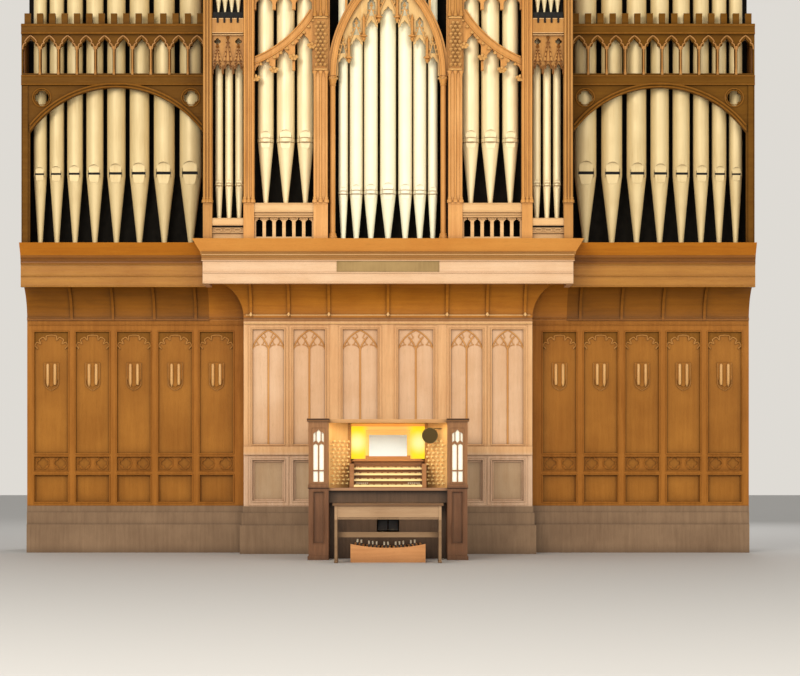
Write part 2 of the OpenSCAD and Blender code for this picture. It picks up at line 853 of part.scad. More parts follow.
module narrow_heads() {
    gablets = 3;
    pitch = narrow_width / gablets;
    y_out = y_screen + screen_board;
    string = narrow_head + narrow_gable;
    color("burlywood")
        both() {
            wall(y_screen, y_out) translate([0, z_deck]) difference() {
                area(x_post, x_narrow, narrow_head, string);
                for (i = [0 : gablets - 1]) translate([x_post + pitch * (i + 0.5), 0])
                    light(pitch - 24, narrow_head - 10, narrow_head + 40);
                for (i = [0, 2]) translate([x_post + pitch * (i + 0.5), narrow_head + 374]) foils(4, 20);
            }
            wall(y_screen - 14, y_screen) translate([0, z_deck]) for (i = [0 : gablets - 1])
                translate([x_post + pitch * (i + 0.5), narrow_head + 140])
                    gablet(pitch - 10, gablet_heights[i]);
            block(x_post, x_narrow, y_post, y_backing, z_deck + string, z_deck + string + narrow_band);
            wall(y_screen, y_out) translate([0, z_deck]) difference() {
                area(x_post, x_narrow, centre_height - 503, centre_height);
                for (i = [0 : gablets - 1]) translate([x_post + pitch * (i + 0.5), 0])
                    light(pitch - 24, centre_height - 513, centre_height - 463);
            }
        }
}

// A pinnacle stands over each post, from the middle outwards.
pinnacle_places = [x_colonnette + pier_width / 2, x_bay + post_width / 2, (x_narrow + fascia_half) / 2];
pinnacle_widths = [120, 100, 100];

// The moulding round the top of the centre, open behind.
module top_outline(deep) {
    polygon([
        [0, z_top], [-20, z_top], [-20, z_top + 40], [-60, z_top + 100], [-60, z_top + top_height],
        [deep, z_top + top_height], [deep, z_top]
    ]);
}

module top_cornice() {
    reach = fascia_half + 61;
    color("burlywood") {
        intersection() {
            bar(-reach, reach) translate([y_post, 0]) top_outline(post_depth);
            wall(y_post - 61, y_post + post_depth + 1)
                both() mirror([1, 0]) translate([-fascia_half, 0]) top_outline(fascia_half + 1);
        }
        wall(y_post + 20, y_post + 60) translate([0, z_top + top_height]) difference() {
            for (side = [-1, 1]) for (i = [0 : 7]) translate([side * (130 + i * 260), 0]) area(-70, 70, 0, 90);
            for (side = [-1, 1]) for (x = pinnacle_places) translate([side * x, 0]) area(-90, 90, -1, 91);
        }
    }
}

// A square shaft under a steep four-sided spire.
module pinnacle(w, h) {
    translate([-w / 2, 0, 0]) cube([w, w, h * 0.4]);
    translate([-w * 0.62, -w * 0.12, h * 0.4]) cube([w * 1.24, w * 1.24, 24]);
    translate([0, w / 2, h * 0.4 + 24]) intersection() {
        rotate([90, 0, 0]) translate([0, 0, -w]) linear_extrude(2 * w) gablet(w, h * 0.6 - 24);
        rotate([90, 0, 90]) translate([0, 0, -w]) linear_extrude(2 * w) gablet(w, h * 0.6 - 24);
    }
}

module pinnacles() {
    color("burlywood")
        both() for (i = [0 : 2])
            translate([pinnacle_places[i], y_post - 2, z_top + top_height])
                pinnacle(pinnacle_widths[i], pinnacle_height - 50 * i);
}

// An organ pipe on its conical foot: toe at 0, mouth at the given height, d wide.
// The lips are pressed flat over and under the slot, and round off at their ends.
// The body is bored from above the mouth to the open top.
module pipe(d, mouth, height) {
    r = d / 2;
    flat = d * 0.1;
    slot = d * 0.14;
    half = d * 0.36;
    foot = mouth + d * 0.02;
    bore = mouth + d * 1.1;
    difference() {
        rotate_extrude() polygon([
            [0, 0], [toe / 2, 0], [r, mouth], [r, height], [r - pipe_wall, height],
            [r - pipe_wall, bore], [0, bore]
        ]);
        wall(-d, flat - r) {
            area(-half, half, foot - d * 0.12, foot + slot + d * 0.1);
            translate([0, foot - d * 0.12]) circle(half);
            translate([0, foot + slot + d * 0.1]) circle(half);
        }
        translate([-half, -d, foot]) cube([2 * half, d * 0.74, slot]);
    }
}

middle_places = [0, 0.34, 0.6285, 0.8863] * middle_opening;
middle_widths = [0.316, 0.275, 0.2586, 0.19] * middle_opening;

module pipes_centre() {
    color("blanchedalmond") {
        translate([0, y_pipes, z_deck]) pipe(middle_widths[0], middle_mouth, centre_height - 40);
        both() for (i = [1 : 3]) translate([middle_places[i], y_pipes, z_deck])
            pipe(middle_widths[i], middle_mouth, centre_height - 40 - i * 60);
    }
}

bay_widths = [0.286, 0.304, 0.27] * bay_width;

module pipes_bays() {
    color("blanchedalmond")
        both() for (i = [0 : 2])
            translate([x_pier + bay_pipe_places[i], y_pipes, z_deck + bay_sill])
                pipe(bay_widths[i], bay_mouth, centre_height - bay_sill - 60 - i * 60);
}

module pipes_narrow() {
    pitch = 0.3228 * narrow_width;
    first = (narrow_width - 2 * pitch) / 2;
    upper = narrow_width / 4.5;
    upper_foot = narrow_head + narrow_gable + narrow_band;
    color("blanchedalmond")
        both() {
            for (i = [0 : 2]) translate([x_post + first + pitch * i, y_pipes, z_deck + narrow_sill])
                pipe(narrow_width / 4, narrow_mouth, narrow_head + narrow_gable - 7 - narrow_sill);
            for (i = [0 : 3])
                translate([x_post + narrow_width / 2 + (i - 1.5) * upper, y_pipes, z_deck + upper_foot])
                    pipe(narrow_width / 6.5, 160, centre_height - upper_foot - 60);
        }
}

wing_unit = wing_span / wing_pipes;
function wing_pipe_x(i) =
    x_wing + wing_unit * (wing_start_share + i * wing_pitch_share - wing_pitch_fall * i * (i - 1) / 2);

module pipes_wings() {
    color("blanchedalmond")
        both() for (i = [0 : wing_pipes - 1])
            translate([wing_pipe_x(i), y_wing_pipes, z_deck])
                pipe(wing_unit * (wing_pipe_share - wing_pipe_fall * i), wing_mouth,
                    centre_height - wing_pipe_short - 70 * abs(i - 2));
}

// The segment of wood over a wing bay, under its curve.
module wing_arches() {
    middle = (x_wing + x_wing_end) / 2;
    z_axis = z_crown - wing_radius;
    y_out = y_wing_screen + screen_board;
    eye = 140;
    eyes = [fascia_half + eye + 50, x_wing_end - eye - 10];
    color("peru")
        both() {
            wall(y_wing_screen, y_out) difference() {
                area(fascia_half, case_half, z_deck, z_arcade);
                area(x_wing, x_wing_end, z_deck - 1, z_crown - wing_rise);
                intersection() {
                    translate([middle, z_axis]) circle(wing_radius, $fn = fine);
                    area(x_wing, x_wing_end, z_crown - wing_rise - 1, z_crown + 1);
                }
                for (x = eyes) translate([x, z_crown + 18 - eye]) foils(4, eye * 0.36);
            }
            wall(y_wing_screen - 22, y_wing_screen) intersection() {
                difference() {
                    translate([middle, z_axis]) circle(wing_radius + 55, $fn = fine);
                    translate([middle, z_axis]) circle(wing_radius, $fn = fine);
                }
                area(x_wing, x_wing_end, z_crown - wing_rise + 12, z_beam);
            }
            block(fascia_half, case_half, y_wing_screen - 22, y_wing_screen, z_beam + 16, z_arcade - 16);
            block(x_wing_end + 20, case_half - 20, y_wing_screen - 16, y_wing_screen, z_deck, z_beam);
        }
}

module wing_arcades() {
    pitch = (case_half - fascia_half) / arcade_count;
    tooth = (case_half - fascia_half) / (2 * battlement_count);
    y_out = y_wing_screen + screen_board;
    color("peru")
        both() {
            wall(y_wing_screen, y_out) difference() {
                area(fascia_half, case_half, z_arcade, z_upper_beam);
                for (i = [0 : arcade_count - 1]) translate([fascia_half + pitch * (i + 0.5), 0])
                    light(pitch - 34, z_arcade + 20, z_upper_beam - 180);
            }
            block(fascia_half, case_half, y_wing_screen - 26, y_out, z_upper_beam, z_battlement);
            for (i = [0 : battlement_count - 1])
                block(fascia_half + tooth * (2 * i + 0.5), fascia_half + tooth * (2 * i + 1.5),
                    y_wing_screen - 4, y_wing_screen + 40, z_battlement, z_battlement + battlement);
        }
}

// The lights of a console pier: two low, two tall, and three in the head.
low_light = 120;
tall_light = 300;
light_bar = 14;

module pier_lights(half, z_sill) {
    z_tall = z_sill + low_light + light_bar;
    z_head = z_tall + tall_light;
    edge = light_bar / 2;
    head = half * 0.4;
    for (side = [0, 1]) mirror([side, 0]) {
        area(edge, half, z_sill, z_sill + low_light);
        polygon([
            [edge, z_tall], [half, z_tall], [half, z_head - 18],
            [(half + edge) / 2, z_head], [edge, z_head - 18]
        ]);
        polygon([
            [head + 10, z_head + 34], [half, z_head + 14], [half, z_head + 112], [head + 10, z_head + 132]
        ]);
    }
    polygon([
        [0, z_head + 8], [head, z_head + 34], [head, z_head + 130], [0, z_head + 160],
        [-head, z_head + 130], [-head, z_head + 34]
    ]);
}

// A console pier with glazed lights above and a sunk panel below.
module console_piers() {
    middle = (x_cheek + console_half) / 2;
    half = console_pier / 2 - 54;
    z_sill = desk_height + 70;
    color("rosybrown")
        both() difference() {
            union() {
                block(x_cheek, console_half, y_console, y_console_back, console_plinth, console_height);
                block(x_cheek, console_half + 12, y_console - 12, y_console_back, 0, console_plinth);
                block(x_cheek, console_half + 8, y_console - 8, y_console, desk_height, desk_height + 40);
            }
            wall(y_console - 1, y_console + 24) {
                area(middle - half, middle + half, 190, desk_height - 40);
                translate([middle, 0]) pier_lights(half, z_sill);
            }
            block(console_half - 14, console_half + 1, y_console + 100, y_console_back - 100,
                190, desk_height - 60);
            block(console_half - 14, console_half + 1, y_console + 100, y_console_back - 100,
                desk_height + 60, console_height - 80);
        }
}

module console_back() {
    color("rosybrown")
        difference() {
            block(-x_cheek, x_cheek, y_recess, y_console_back, 0, console_height);
            for (i = [-1 : 1]) block(i * 440 - 180, i * 440 + 180, y_console_back - 14, y_console_back + 1,
                120, console_height - 100);
        }
}

module console_crown() {
    reach = console_half + 19;
    color("rosybrown") {
        both() block(x_cheek - 6, reach, y_console - 19, y_console_back + 10, console_height,
            console_height + crown_board);
        block(-x_cheek + 6, x_cheek - 6, y_console + 60, y_console_back + 10, console_height,
            console_height + crown_board - 8);
    }
}

// Angled boards on both sides of the keyboards, which carry the stops.
jamb_angle = 32;
cheek_width = 46;
x_jamb = manual_width / 2 + cheek_width;
y_jamb = y_console + 150;
y_jamb_far = y_jamb + (x_cheek - x_jamb) / tan(jamb_angle);
console_back_board = 40;
y_recess = y_console_back - console_back_board;

module jamb(bottom, top) {
    translate([0, 0, bottom]) linear_extrude(top - bottom)
        polygon([[x_cheek, y_jamb], [x_jamb, y_jamb_far], [x_jamb, y_recess], [x_cheek, y_recess]]);
}

// A post closes each board at its inner edge.
module stop_jambs() {
    color("rosybrown") both() {
        jamb(desk_height, console_height);
        block(x_jamb, x_jamb + 28, y_jamb_far - 24, y_jamb_far + 60, desk_height, console_height);
    }
}

// Rows of turned knobs, standing square to the angled boards.
module stop_knobs() {
    rows = 12;
    columns = 4;
    length = (x_cheek - x_jamb) / sin(jamb_angle);
    color("ivory")
        both() translate([x_cheek, y_jamb, desk_height + 50]) rotate([0, 0, 90 + jamb_angle])
            for (row = [0 : rows - 1]) for (column = [0 : columns - 1])
                translate([length * (column + 0.5 + 0.3 * (row % 2)) / (columns + 0.6), 0, row * 44])
                    rotate([-90, 0, 0]) rotate_extrude()
                        polygon([[0, 0], [7, 0], [7, 20], [13, 26], [13, 34], [0, 34]]);
}

module key_desk() {
    color("rosybrown") {
        block(-x_cheek, x_cheek, y_console + 40, y_recess, desk_height - 30, desk_height);
        both() block(manual_width / 2, x_jamb, y_console + 60, y_recess, desk_height,
            z_manual + manual_rise * manual_count);
        for (i = [0 : manual_count - 1])
            block(-manual_width / 2, manual_width / 2, y_console + 60 + manual_step * i + 140, y_recess,
                desk_height, z_manual + manual_rise * (i + 1));
        block(-manual_width / 2, manual_width / 2, y_console + 60, y_console + 200, desk_height, z_manual);
    }
}

// A keyboard: one board cut into naturals, with the sharps standing on it.
module keyboard() {
    pitch = (manual_width - 2) / natural_keys;
    difference() {
        block(1 - manual_width / 2, manual_width / 2 - 1, 0, 138, 0, 22);
        for (i = [1 : natural_keys - 1])
            block(
                i * pitch - 0.8 + 1 - manual_width / 2, i * pitch + 0.8 + 1 - manual_width / 2,
                -1, 137, 10, 23
            );
    }
    for (i = [1 : natural_keys - 1])
        if (i % 7 != 3 && i % 7 != 0)
            block(i * pitch - 5 + 1 - manual_width / 2, i * pitch + 5 + 1 - manual_width / 2, 50, 138, 20, 33);
}

module manual_keys() {
    color("ivory")
        for (i = [0 : manual_count - 1])
            translate([0, y_console + 61 + manual_step * i, z_manual + manual_rise * i]) keyboard();
}

// The music desk stands on the back of the highest keyboard's frame.
y_music = y_console + 60 + manual_step * (manual_count - 1) + 150;
z_music = z_manual + manual_rise * manual_count;
music_foot = 46;
music_lean = 14;
music_half = 262;
music_board = 352;
page_width = 440;
page_height = 282;

module music_desk() {
    z_shelf = z_music + music_foot;
    reach = x_jamb - 12;
    color("sienna") {
        block(-manual_width / 2, manual_width / 2, y_music, y_music + 28, z_music, z_shelf - 16);
        wall(y_music - 40, y_music + 160)
            polygon([
                [-reach, z_shelf - 16], [reach, z_shelf - 16],
                [reach - 44, z_shelf + 14], [44 - reach, z_shelf + 14]
            ]);
        block(-music_half, music_half, y_music - 40, y_music - 28, z_shelf + 14, z_shelf + 42);
        translate([0, y_music + 40, z_shelf + 10]) rotate([-music_lean, 0, 0])
            translate([-music_half, 0, 0]) cube([2 * music_half, 14, music_board]);
    }
}

module music_pages() {
    color("white")
        translate([0, y_music + 40, z_music + music_foot + 10]) rotate([-music_lean, 0, 0])
            translate([-page_width / 2, -8, 6]) cube([page_width, 8, page_height]);
}

// The mirror hangs from a bent rod on the right pier and tilts on a cross pin.
mirror_x = 480;
mirror_y = y_console + 200;
mirror_z = 1420;
mirror_radius = 92;
mirror_set = 50;
arm_radius = 7;
pin_radius = 5;
pin_gap = 0.05;

module mirror_arm() {
    y = mirror_y + mirror_set;
    reach = x_cheek - mirror_x;
    z_bend = mirror_z + 80;
    color("goldenrod")
        difference() {
            union() {
                translate([mirror_x, y, mirror_z]) cylinder(h = 80, r = arm_radius);
                translate([mirror_x, y, z_bend]) sphere(r = arm_radius + 3);
                translate([mirror_x, y, z_bend]) rotate([0, 90, 0]) cylinder(h = reach, r = arm_radius);
                translate([mirror_x - 20, y, mirror_z]) rotate([0, 90, 0]) cylinder(h = 40, r = pin_radius);
            }
            jamb(z_bend - 60, z_bend + 60);
        }
}

module mirror_glass() {
    y = mirror_y + mirror_set;
    color("silver") {
        translate([mirror_x, mirror_y, mirror_z]) rotate([90, 0, 0]) translate([0, 0, -10])
            cylinder(h = 10, r = mirror_radius);
        difference() {
            for (side = [-1, 1]) {
                translate([mirror_x + side * 13 - 5, y, mirror_z]) rotate([0, 90, 0]) cylinder(h = 10, r = 10);
                block(mirror_x + side * 13 - 5, mirror_x + side * 13 + 5, mirror_y + 9, y,
                    mirror_z - 9, mirror_z + 9);
            }
            translate([mirror_x - 30, y, mirror_z]) rotate([0, 90, 0])
                cylinder(h = 60, r = pin_radius + pin_gap);
        }
    }
}

// The board under the key desk, and the panel behind the player's feet.
shoe_z = 385;
shoe_y = y_knee + 90;
shoe_length = 190;
shoe_width = 110;
recess = 130;

module kneeboard() {
    color("rosybrown") {
        block(-x_cheek, x_cheek, y_console + 120, y_console + 145, 650, desk_height - 30);
        difference() {
            block(-x_cheek, x_cheek, y_knee, y_knee + 25, 0, desk_height - 30);
            block(-recess, recess, y_knee - 1, y_knee + 26, shoe_z - 100, shoe_z + 100);
        }
        both() block(recess, recess + 20, y_knee + 25, y_knee + 240, shoe_z - 140, shoe_z + 140);
    }
}

module swell_shaft() {
    color("dimgray")
        translate([-recess, shoe_y, shoe_z]) rotate([0, 90, 0]) cylinder(h = 2 * recess, r = 8);
}

// A shoe on its hub, turned back to its place of rest.
module swell_pedal() {
    color("dimgray")
        translate([8, shoe_y, shoe_z]) rotate([50, 0, 0]) difference() {
            union() {
                rotate([0, 90, 0]) cylinder(h = shoe_width, r = 14);
                translate([0, -shoe_length / 2, 10]) cube([shoe_width, shoe_length, 14]);
            }
            translate([-1, 0, 0]) rotate([0, 90, 0]) cylinder(h = shoe_width + 2, r = 8 + pin_gap);
        }
}

module swell_pedal_left() {
    mirror([1, 0, 0]) swell_pedal();
}

module swell_pedal_right() {
    swell_pedal();
}

// The pedalboard is hollowed across its width, so its ends stand higher.
pedal_front = y_console - pedal_length;
pedal_back = y_knee;
pedal_pitch = (pedal_width - 50) / natural_pedals;
function pedal_x(i) = (i - (natural_pedals - 1) / 2) * pedal_pitch;
function pedal_top(x) = 150 + 44 * pow(2 * x / pedal_width, 2);

module pedalboard() {
    half = pedal_width / 2;
    dip = 44;
    round_r = (pow(half, 2) + pow(dip, 2)) / (2 * dip);
    color("burlywood") {
        wall(pedal_front, pedal_front + 28) difference() {
            area(-half, half, 0, heel_height);
            translate([0, heel_height - dip + round_r]) circle(round_r, $fn = fine);
        }
        both() block(half - 25, half, pedal_front + 28, pedal_back, 0, 120);
        block(25 - half, half - 25, pedal_back - 30, pedal_back, 0, 110);
        for (i = [0 : natural_pedals - 1]) {
            x = pedal_x(i);
            block(x - 12, x + 12, pedal_front + 20, pedal_back, pedal_top(x) - 46, pedal_top(x));
        }
    }
}

module pedal_sharps() {
    color("saddlebrown")
        for (i = [0 : natural_pedals - 2])
            if (i % 7 != 2 && i % 7 != 6) {
                x = (pedal_x(i) + pedal_x(i + 1)) / 2;
                block(x - 8, x + 8, pedal_back - 430, pedal_back, 110, pedal_top(x) - 4);
                block(x - 8, x + 8, pedal_back - 430, pedal_back - 290, pedal_top(x) - 5, pedal_top(x) + 55);
            }
}

module bench() {
    y0 = y_console - bench_reach;
    y1 = y0 + seat_width;
    seat = 24;
    leg = bench_half - 52;
    color("tan") {
        block(-bench_half, bench_half, y0, y1, bench_height - seat, bench_height);
        both() block(leg, leg + 30, y0 + 15, y1 - 15, 0, bench_height - seat);
        block(-leg, leg, y0 + 20, y0 + 44, bench_height - seat - 130, bench_height - seat);
        block(-leg, leg, y1 - 44, y1 - 20, bench_height - seat - 130, bench_height - seat);
        block(-leg, leg, (y0 + y1) / 2 - 14, (y0 + y1) / 2 + 14, 280, 337);
    }
}

plinth();
centre_screen();
centre_panels();
centre_returns();
wing_screens();
wing_panel_boards();
shields();
cove_centre();
wing_coves();
cornice_centre();
wing_cornices();
brass_plate();
side_walls();
back_wall();
pipe_deck();
tower_sides();
wing_ends();
backing_boards();
chamber_back();
chamber_roofs();
outer_posts();
bay_posts();
arch_piers();
colonnettes();
centre_arch();
arch_canopy();
bay_rakes();
bay_heads();
bay_sills();
narrow_sills();
narrow_heads();
top_cornice();
pinnacles();
pipes_centre();
pipes_bays();
pipes_narrow();
wing_arches();
wing_arcades();
pipes_wings();
console_piers();
console_back();
console_crown();
stop_jambs();
stop_knobs();
key_desk();
manual_keys();
music_desk();
music_pages();
mirror_arm();
mirror_glass();
kneeboard();
swell_shaft();
swell_pedal_left();
swell_pedal_right();
pedalboard();
pedal_sharps();
bench();
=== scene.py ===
# %% [markdown]
# A church pipe organ, dressed in Blender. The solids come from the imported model: oak case, cove, cornice,
# tracery, pipes, console, pedals and bench. This lesson gives each of them its finish, and adds the fine carved,
# turned and metal work: roll mouldings, leaves, hangers, bands at the pipes' mouths, glazing and buttons. Lengths
# are in metres, X runs to the right, Y to the back and Z up.

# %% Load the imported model
import math

import bpy
import numpy as np
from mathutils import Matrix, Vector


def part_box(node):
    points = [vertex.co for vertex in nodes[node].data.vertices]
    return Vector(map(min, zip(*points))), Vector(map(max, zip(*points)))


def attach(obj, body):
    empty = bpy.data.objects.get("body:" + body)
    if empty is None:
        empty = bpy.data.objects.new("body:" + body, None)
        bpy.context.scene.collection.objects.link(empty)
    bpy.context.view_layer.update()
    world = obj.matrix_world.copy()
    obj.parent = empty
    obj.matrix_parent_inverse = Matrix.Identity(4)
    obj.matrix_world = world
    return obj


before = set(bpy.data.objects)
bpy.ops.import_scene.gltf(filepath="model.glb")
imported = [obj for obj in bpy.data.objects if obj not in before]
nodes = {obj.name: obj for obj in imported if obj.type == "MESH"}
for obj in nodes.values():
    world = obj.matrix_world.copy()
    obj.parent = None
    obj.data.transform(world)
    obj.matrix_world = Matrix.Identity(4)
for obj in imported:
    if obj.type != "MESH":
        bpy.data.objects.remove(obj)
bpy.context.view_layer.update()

# %% [markdown]
# The places of the added pieces are read from the solids where they can be. Each box gives a node's lowest and
# highest corner. The other heights count from the floor or from the deck that the pipes stand on.

# %% Main places
Y_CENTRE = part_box("centre_screen")[0][1] + 0.022
Y_FASCIA = -0.17
Y_POST = Y_FASCIA + 0.05
Y_SCREEN = Y_POST + 0.025
Y_WING = Y_CENTRE + 0.46
Y_WING_SCREEN = Y_CENTRE + 0.05
Y_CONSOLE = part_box("console_piers")[0][1] + 0.012
X_OPEN, X_SHAFT, X_PIER, X_BAY, X_POST, X_NARROW, X_FASCIA = 0.611, 0.722, 0.894, 1.606, 1.734, 2.112, 2.22
X_WING, X_WING_END, X_CASE = 2.26, 4.38, 4.48
Z_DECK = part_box("pipe_deck")[1][2]
Z_SILL, Z_NARROW_SILL = Z_DECK + 0.463, Z_DECK + 0.281
Z_SPRING, Z_HEAD, Z_RAKE = Z_DECK + 1.995, Z_DECK + 2.03, Z_DECK + 2.79
Z_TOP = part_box("backing_boards")[1][2]
print("centre screen at y", round(Y_CENTRE, 3), "and deck at z", round(Z_DECK, 3))

# %% [markdown]
# The camera stands far back, at the height of a standing eye on a lower floor. It looks straight along +Y, level,
# and the picture's frame is shifted up, so that upright lines stay upright.

# %% Camera
camera = bpy.data.objects.new("camera", bpy.data.cameras.new("camera"))
bpy.context.scene.collection.objects.link(camera)
bpy.context.scene.camera = camera
camera.location = (0.0, -25.25, 1.024)
camera.rotation_euler = (math.radians(90), 0, 0)
camera.data.sensor_width = 36.0
camera.data.lens = 94.23
camera.data.shift_x = 0.015
camera.data.shift_y = 0.165
print("camera", tuple(camera.location), "lens", camera.data.lens)

# %% [markdown]
# Shader trees repeat a few steps all the time: add a node and fill its inputs, do a sum, draw noise, turn a range
# of values into another, and mix two colours. Each is a short function, and hands back what its node puts out.

# %% Shader helpers
def fill(tree, made, inputs):
    """Fills a node's inputs, given by name or number, with values, or wires sockets into them."""
    for key, value in inputs.items():
        if isinstance(value, bpy.types.NodeSocket):
            tree.links.new(value, made.inputs[key])
        else:
            made.inputs[key].default_value = value


def node(tree, kind, inputs, **settings):
    """Adds a shader node with its settings and inputs, and gives its outputs."""
    made = tree.nodes.new("ShaderNode" + kind)
    for key, value in settings.items():
        setattr(made, key, value)
    fill(tree, made, inputs)
    return made.outputs


def maths(tree, operation, *values, **settings):
    """A sum of one, two or three numbers."""
    return node(tree, "Math", dict(enumerate(values)), operation=operation, **settings)[0]


def vector(tree, operation, first, second=(0, 0, 0), scale=1.0):
    """A sum of vectors; SCALE uses the number scale."""
    return node(tree, "VectorMath", {0: first, 1: second, 3: scale}, operation=operation)


def noise(tree, place, scale, detail, **more):
    """Cloudy noise between 0 and 1, at a place."""
    return node(tree, "TexNoise", {"Vector": place, "Scale": scale, "Detail": detail, **more})["Fac"]


def ramp(tree, value, start, end, low=0.0, high=1.0, **settings):
    """low where value is at start, high where it is at end, and kept between the two."""
    inputs = {"Value": value, "From Min": start, "From Max": end, "To Min": low, "To Max": high}
    return node(tree, "MapRange", inputs, **settings)[0]


def mixed(tree, share, first, second, **settings):
    """The colour first + share x (second - first), or another blend of the two that the settings name."""
    return node(tree, "Mix", {0: share, 6: first, 7: second}, data_type="RGBA", **settings)[2]


def scaled(tree, value, factor, shift=0.0):
    """The number value x factor + shift, kept between 0 and 1."""
    return maths(tree, "MULTIPLY_ADD", value, factor, shift, use_clamp=True)


def linear(colour):
    """Linear light for a screen colour of three values up to 255; a colour of four values is linear already.

    Each value c, over 255, becomes c / 12.92 low down and ((c + 0.055) / 1.055) to the power 2.4 above.
    """
    if len(colour) == 4:
        return colour
    c = np.array(colour) / 255
    return (*np.where(c <= 0.04045, c / 12.92, ((c + 0.055) / 1.055) ** 2.4).tolist(), 1.0)


print("white is", linear((255, 255, 255)))

# %% [markdown]
# Plain soft studio light: two wide lamps in front and above, one low in front, a weaker one behind, and a pale
# world. The camera, glossy rays and rays through glass see the world brighter than it shines on the organ.

# %% Lights and world
def lamp(name, place, aim, size, watts, colour):
    """A square lamp at place, turned so that its face looks at aim."""
    data = bpy.data.lights.new(name, "AREA")
    data.size = size
    data.energy = watts
    data.color = colour
    thing = bpy.data.objects.new(name, data)
    bpy.context.scene.collection.objects.link(thing)
    way = np.array(aim) - np.array(place)
    flat = math.hypot(way[0], way[1])
    thing.location = place
    thing.rotation_euler = (math.radians(90) + math.atan2(way[2], flat), 0, math.atan2(-way[0], way[1]))


def background(tree, light, seen, colour):
    """A background of one colour with one strength for light and another for what sees it directly."""
    path = node(tree, "LightPath", {})
    direct = maths(tree, "MAXIMUM", path["Is Camera Ray"], path["Is Glossy Ray"])
    direct = maths(tree, "MAXIMUM", direct, path["Is Transmission Ray"])
    back = node(tree, "Background", {"Color": (*colour, 1), "Strength": ramp(tree, direct, 0.0, 1.0, light, seen)})
    node(tree, "OutputWorld", {"Surface": back[0]})


lamp("key", (-9.0, -22.0, 11.0), (0, 0, 3.6), 9.0, 3000, (1.0, 0.93, 0.82))
lamp("fill", (11.0, -20.0, 7.0), (0, 0, 3.5), 10.0, 1300, (1.0, 0.94, 0.84))
lamp("low", (0.0, -22.0, 4.0), (0, 0, 3.0), 8.0, 540, (1.0, 0.93, 0.82))
lamp("back", (3.0, 14.0, 9.0), (0, 2, 4.0), 7.0, 700, (1.0, 0.98, 0.95))
world = bpy.data.worlds.new("studio")
bpy.context.scene.world = world
world.use_nodes = True
world.node_tree.nodes.clear()
background(world.node_tree, 0.60, 0.93, (0.79, 0.76, 0.71))
bpy.context.scene.view_settings.view_transform = "Standard"

# %% [markdown]
# The floor is a wide pale sheet under the organ. It takes the shadow, and is no part of the object.

# %% Floor
floor_mesh = bpy.data.meshes.new("floor")
floor_mesh.from_pydata([(-60, -60, 0), (60, -60, 0), (60, 60, 0), (-60, 60, 0)], [], [(0, 1, 2, 3)])
floor = bpy.data.objects.new("floor", floor_mesh)
bpy.context.scene.collection.objects.link(floor)
floor_paint = bpy.data.materials.new("floor_paint")
floor_paint.use_nodes = True
tree = floor_paint.node_tree
grit = node(tree, "TexNoise", {"Scale": 1.5, "Detail": 6.0})["Fac"]
fill(tree, tree.nodes["Principled BSDF"], {"Base Color": ramp(tree, grit, 0.0, 1.0, 0.50, 0.56), "Roughness": 0.75})
floor_mesh.materials.append(floor_paint)
print("floor laid")

# %% [markdown]
# Effects that several finishes share are node groups. The first is the grain of sawn oak: growth rings and fine
# pores, both drawn out along the board, over slow patches of lighter and darker wood. It is stretched by the Along
# vector, whose small number lies on the axis that the grain follows.

# %% Group: wood grain
def group(name, inputs, outputs):
    """A shader node group with named inputs (name: kind, default) and outputs (name: kind)."""
    tree = bpy.data.node_groups.new(name, "ShaderNodeTree")
    for label, (kind, default) in inputs.items():
        socket = tree.interface.new_socket(label, in_out="INPUT", socket_type="NodeSocket" + kind)
        socket.default_value = default
    for label, kind in outputs.items():
        tree.interface.new_socket(label, in_out="OUTPUT", socket_type="NodeSocket" + kind)
    start = tree.nodes.new("NodeGroupInput")
    end = tree.nodes.new("NodeGroupOutput")
    return tree, start.outputs, end


VECTOR, WHITE = ("Vector", (0, 0, 0)), ("Color", (1, 1, 1, 1))
grain, given, end = group(
    "wood_grain",
    {"Vector": VECTOR, "Along": ("Vector", (1, 1, 0.05)), "Light": WHITE, "Dark": ("Color", (0.5, 0.5, 0.5, 1)),
     "Figure": ("Float", 0.5), "Rough": ("Float", 0.4)},
    {"Color": "Color", "Roughness": "Float", "Height": "Float"})
drawn = vector(grain, "MULTIPLY", given["Vector"], given["Along"])[0]
sway = node(grain, "TexNoise", {"Vector": given["Vector"], "Scale": 1.7, "Detail": 2.0})["Color"]
wavy = vector(grain, "ADD", drawn, vector(grain, "MULTIPLY", sway, (0.05, 0.05, 0.05))[0])[0]
rings = ramp(grain, noise(grain, wavy, 26.0, 5.0, Roughness=0.62), 0.32, 0.68)
pores = ramp(grain, noise(grain, wavy, 310.0, 2.0), 0.58, 0.72)
patches = ramp(grain, noise(grain, given["Vector"], 1.9, 3.0, Roughness=0.5), 0.3, 0.7)
blend = node(grain, "Mix", {0: given["Figure"], 2: patches, 3: rings})[0]
tone = mixed(grain, blend, given["Dark"], given["Light"])
keep = maths(grain, "ADD", maths(grain, "MULTIPLY", pores, -0.16), 1.0)
fill(grain, end, {
    "Color": vector(grain, "SCALE", tone, scale=keep)[0],
    "Roughness": maths(grain, "MULTIPLY_ADD", pores, 0.22, given["Rough"]),
    "Height": maths(grain, "MULTIPLY_ADD", pores, -0.7, rings),
})
print("grain group with", len(grain.nodes), "nodes")
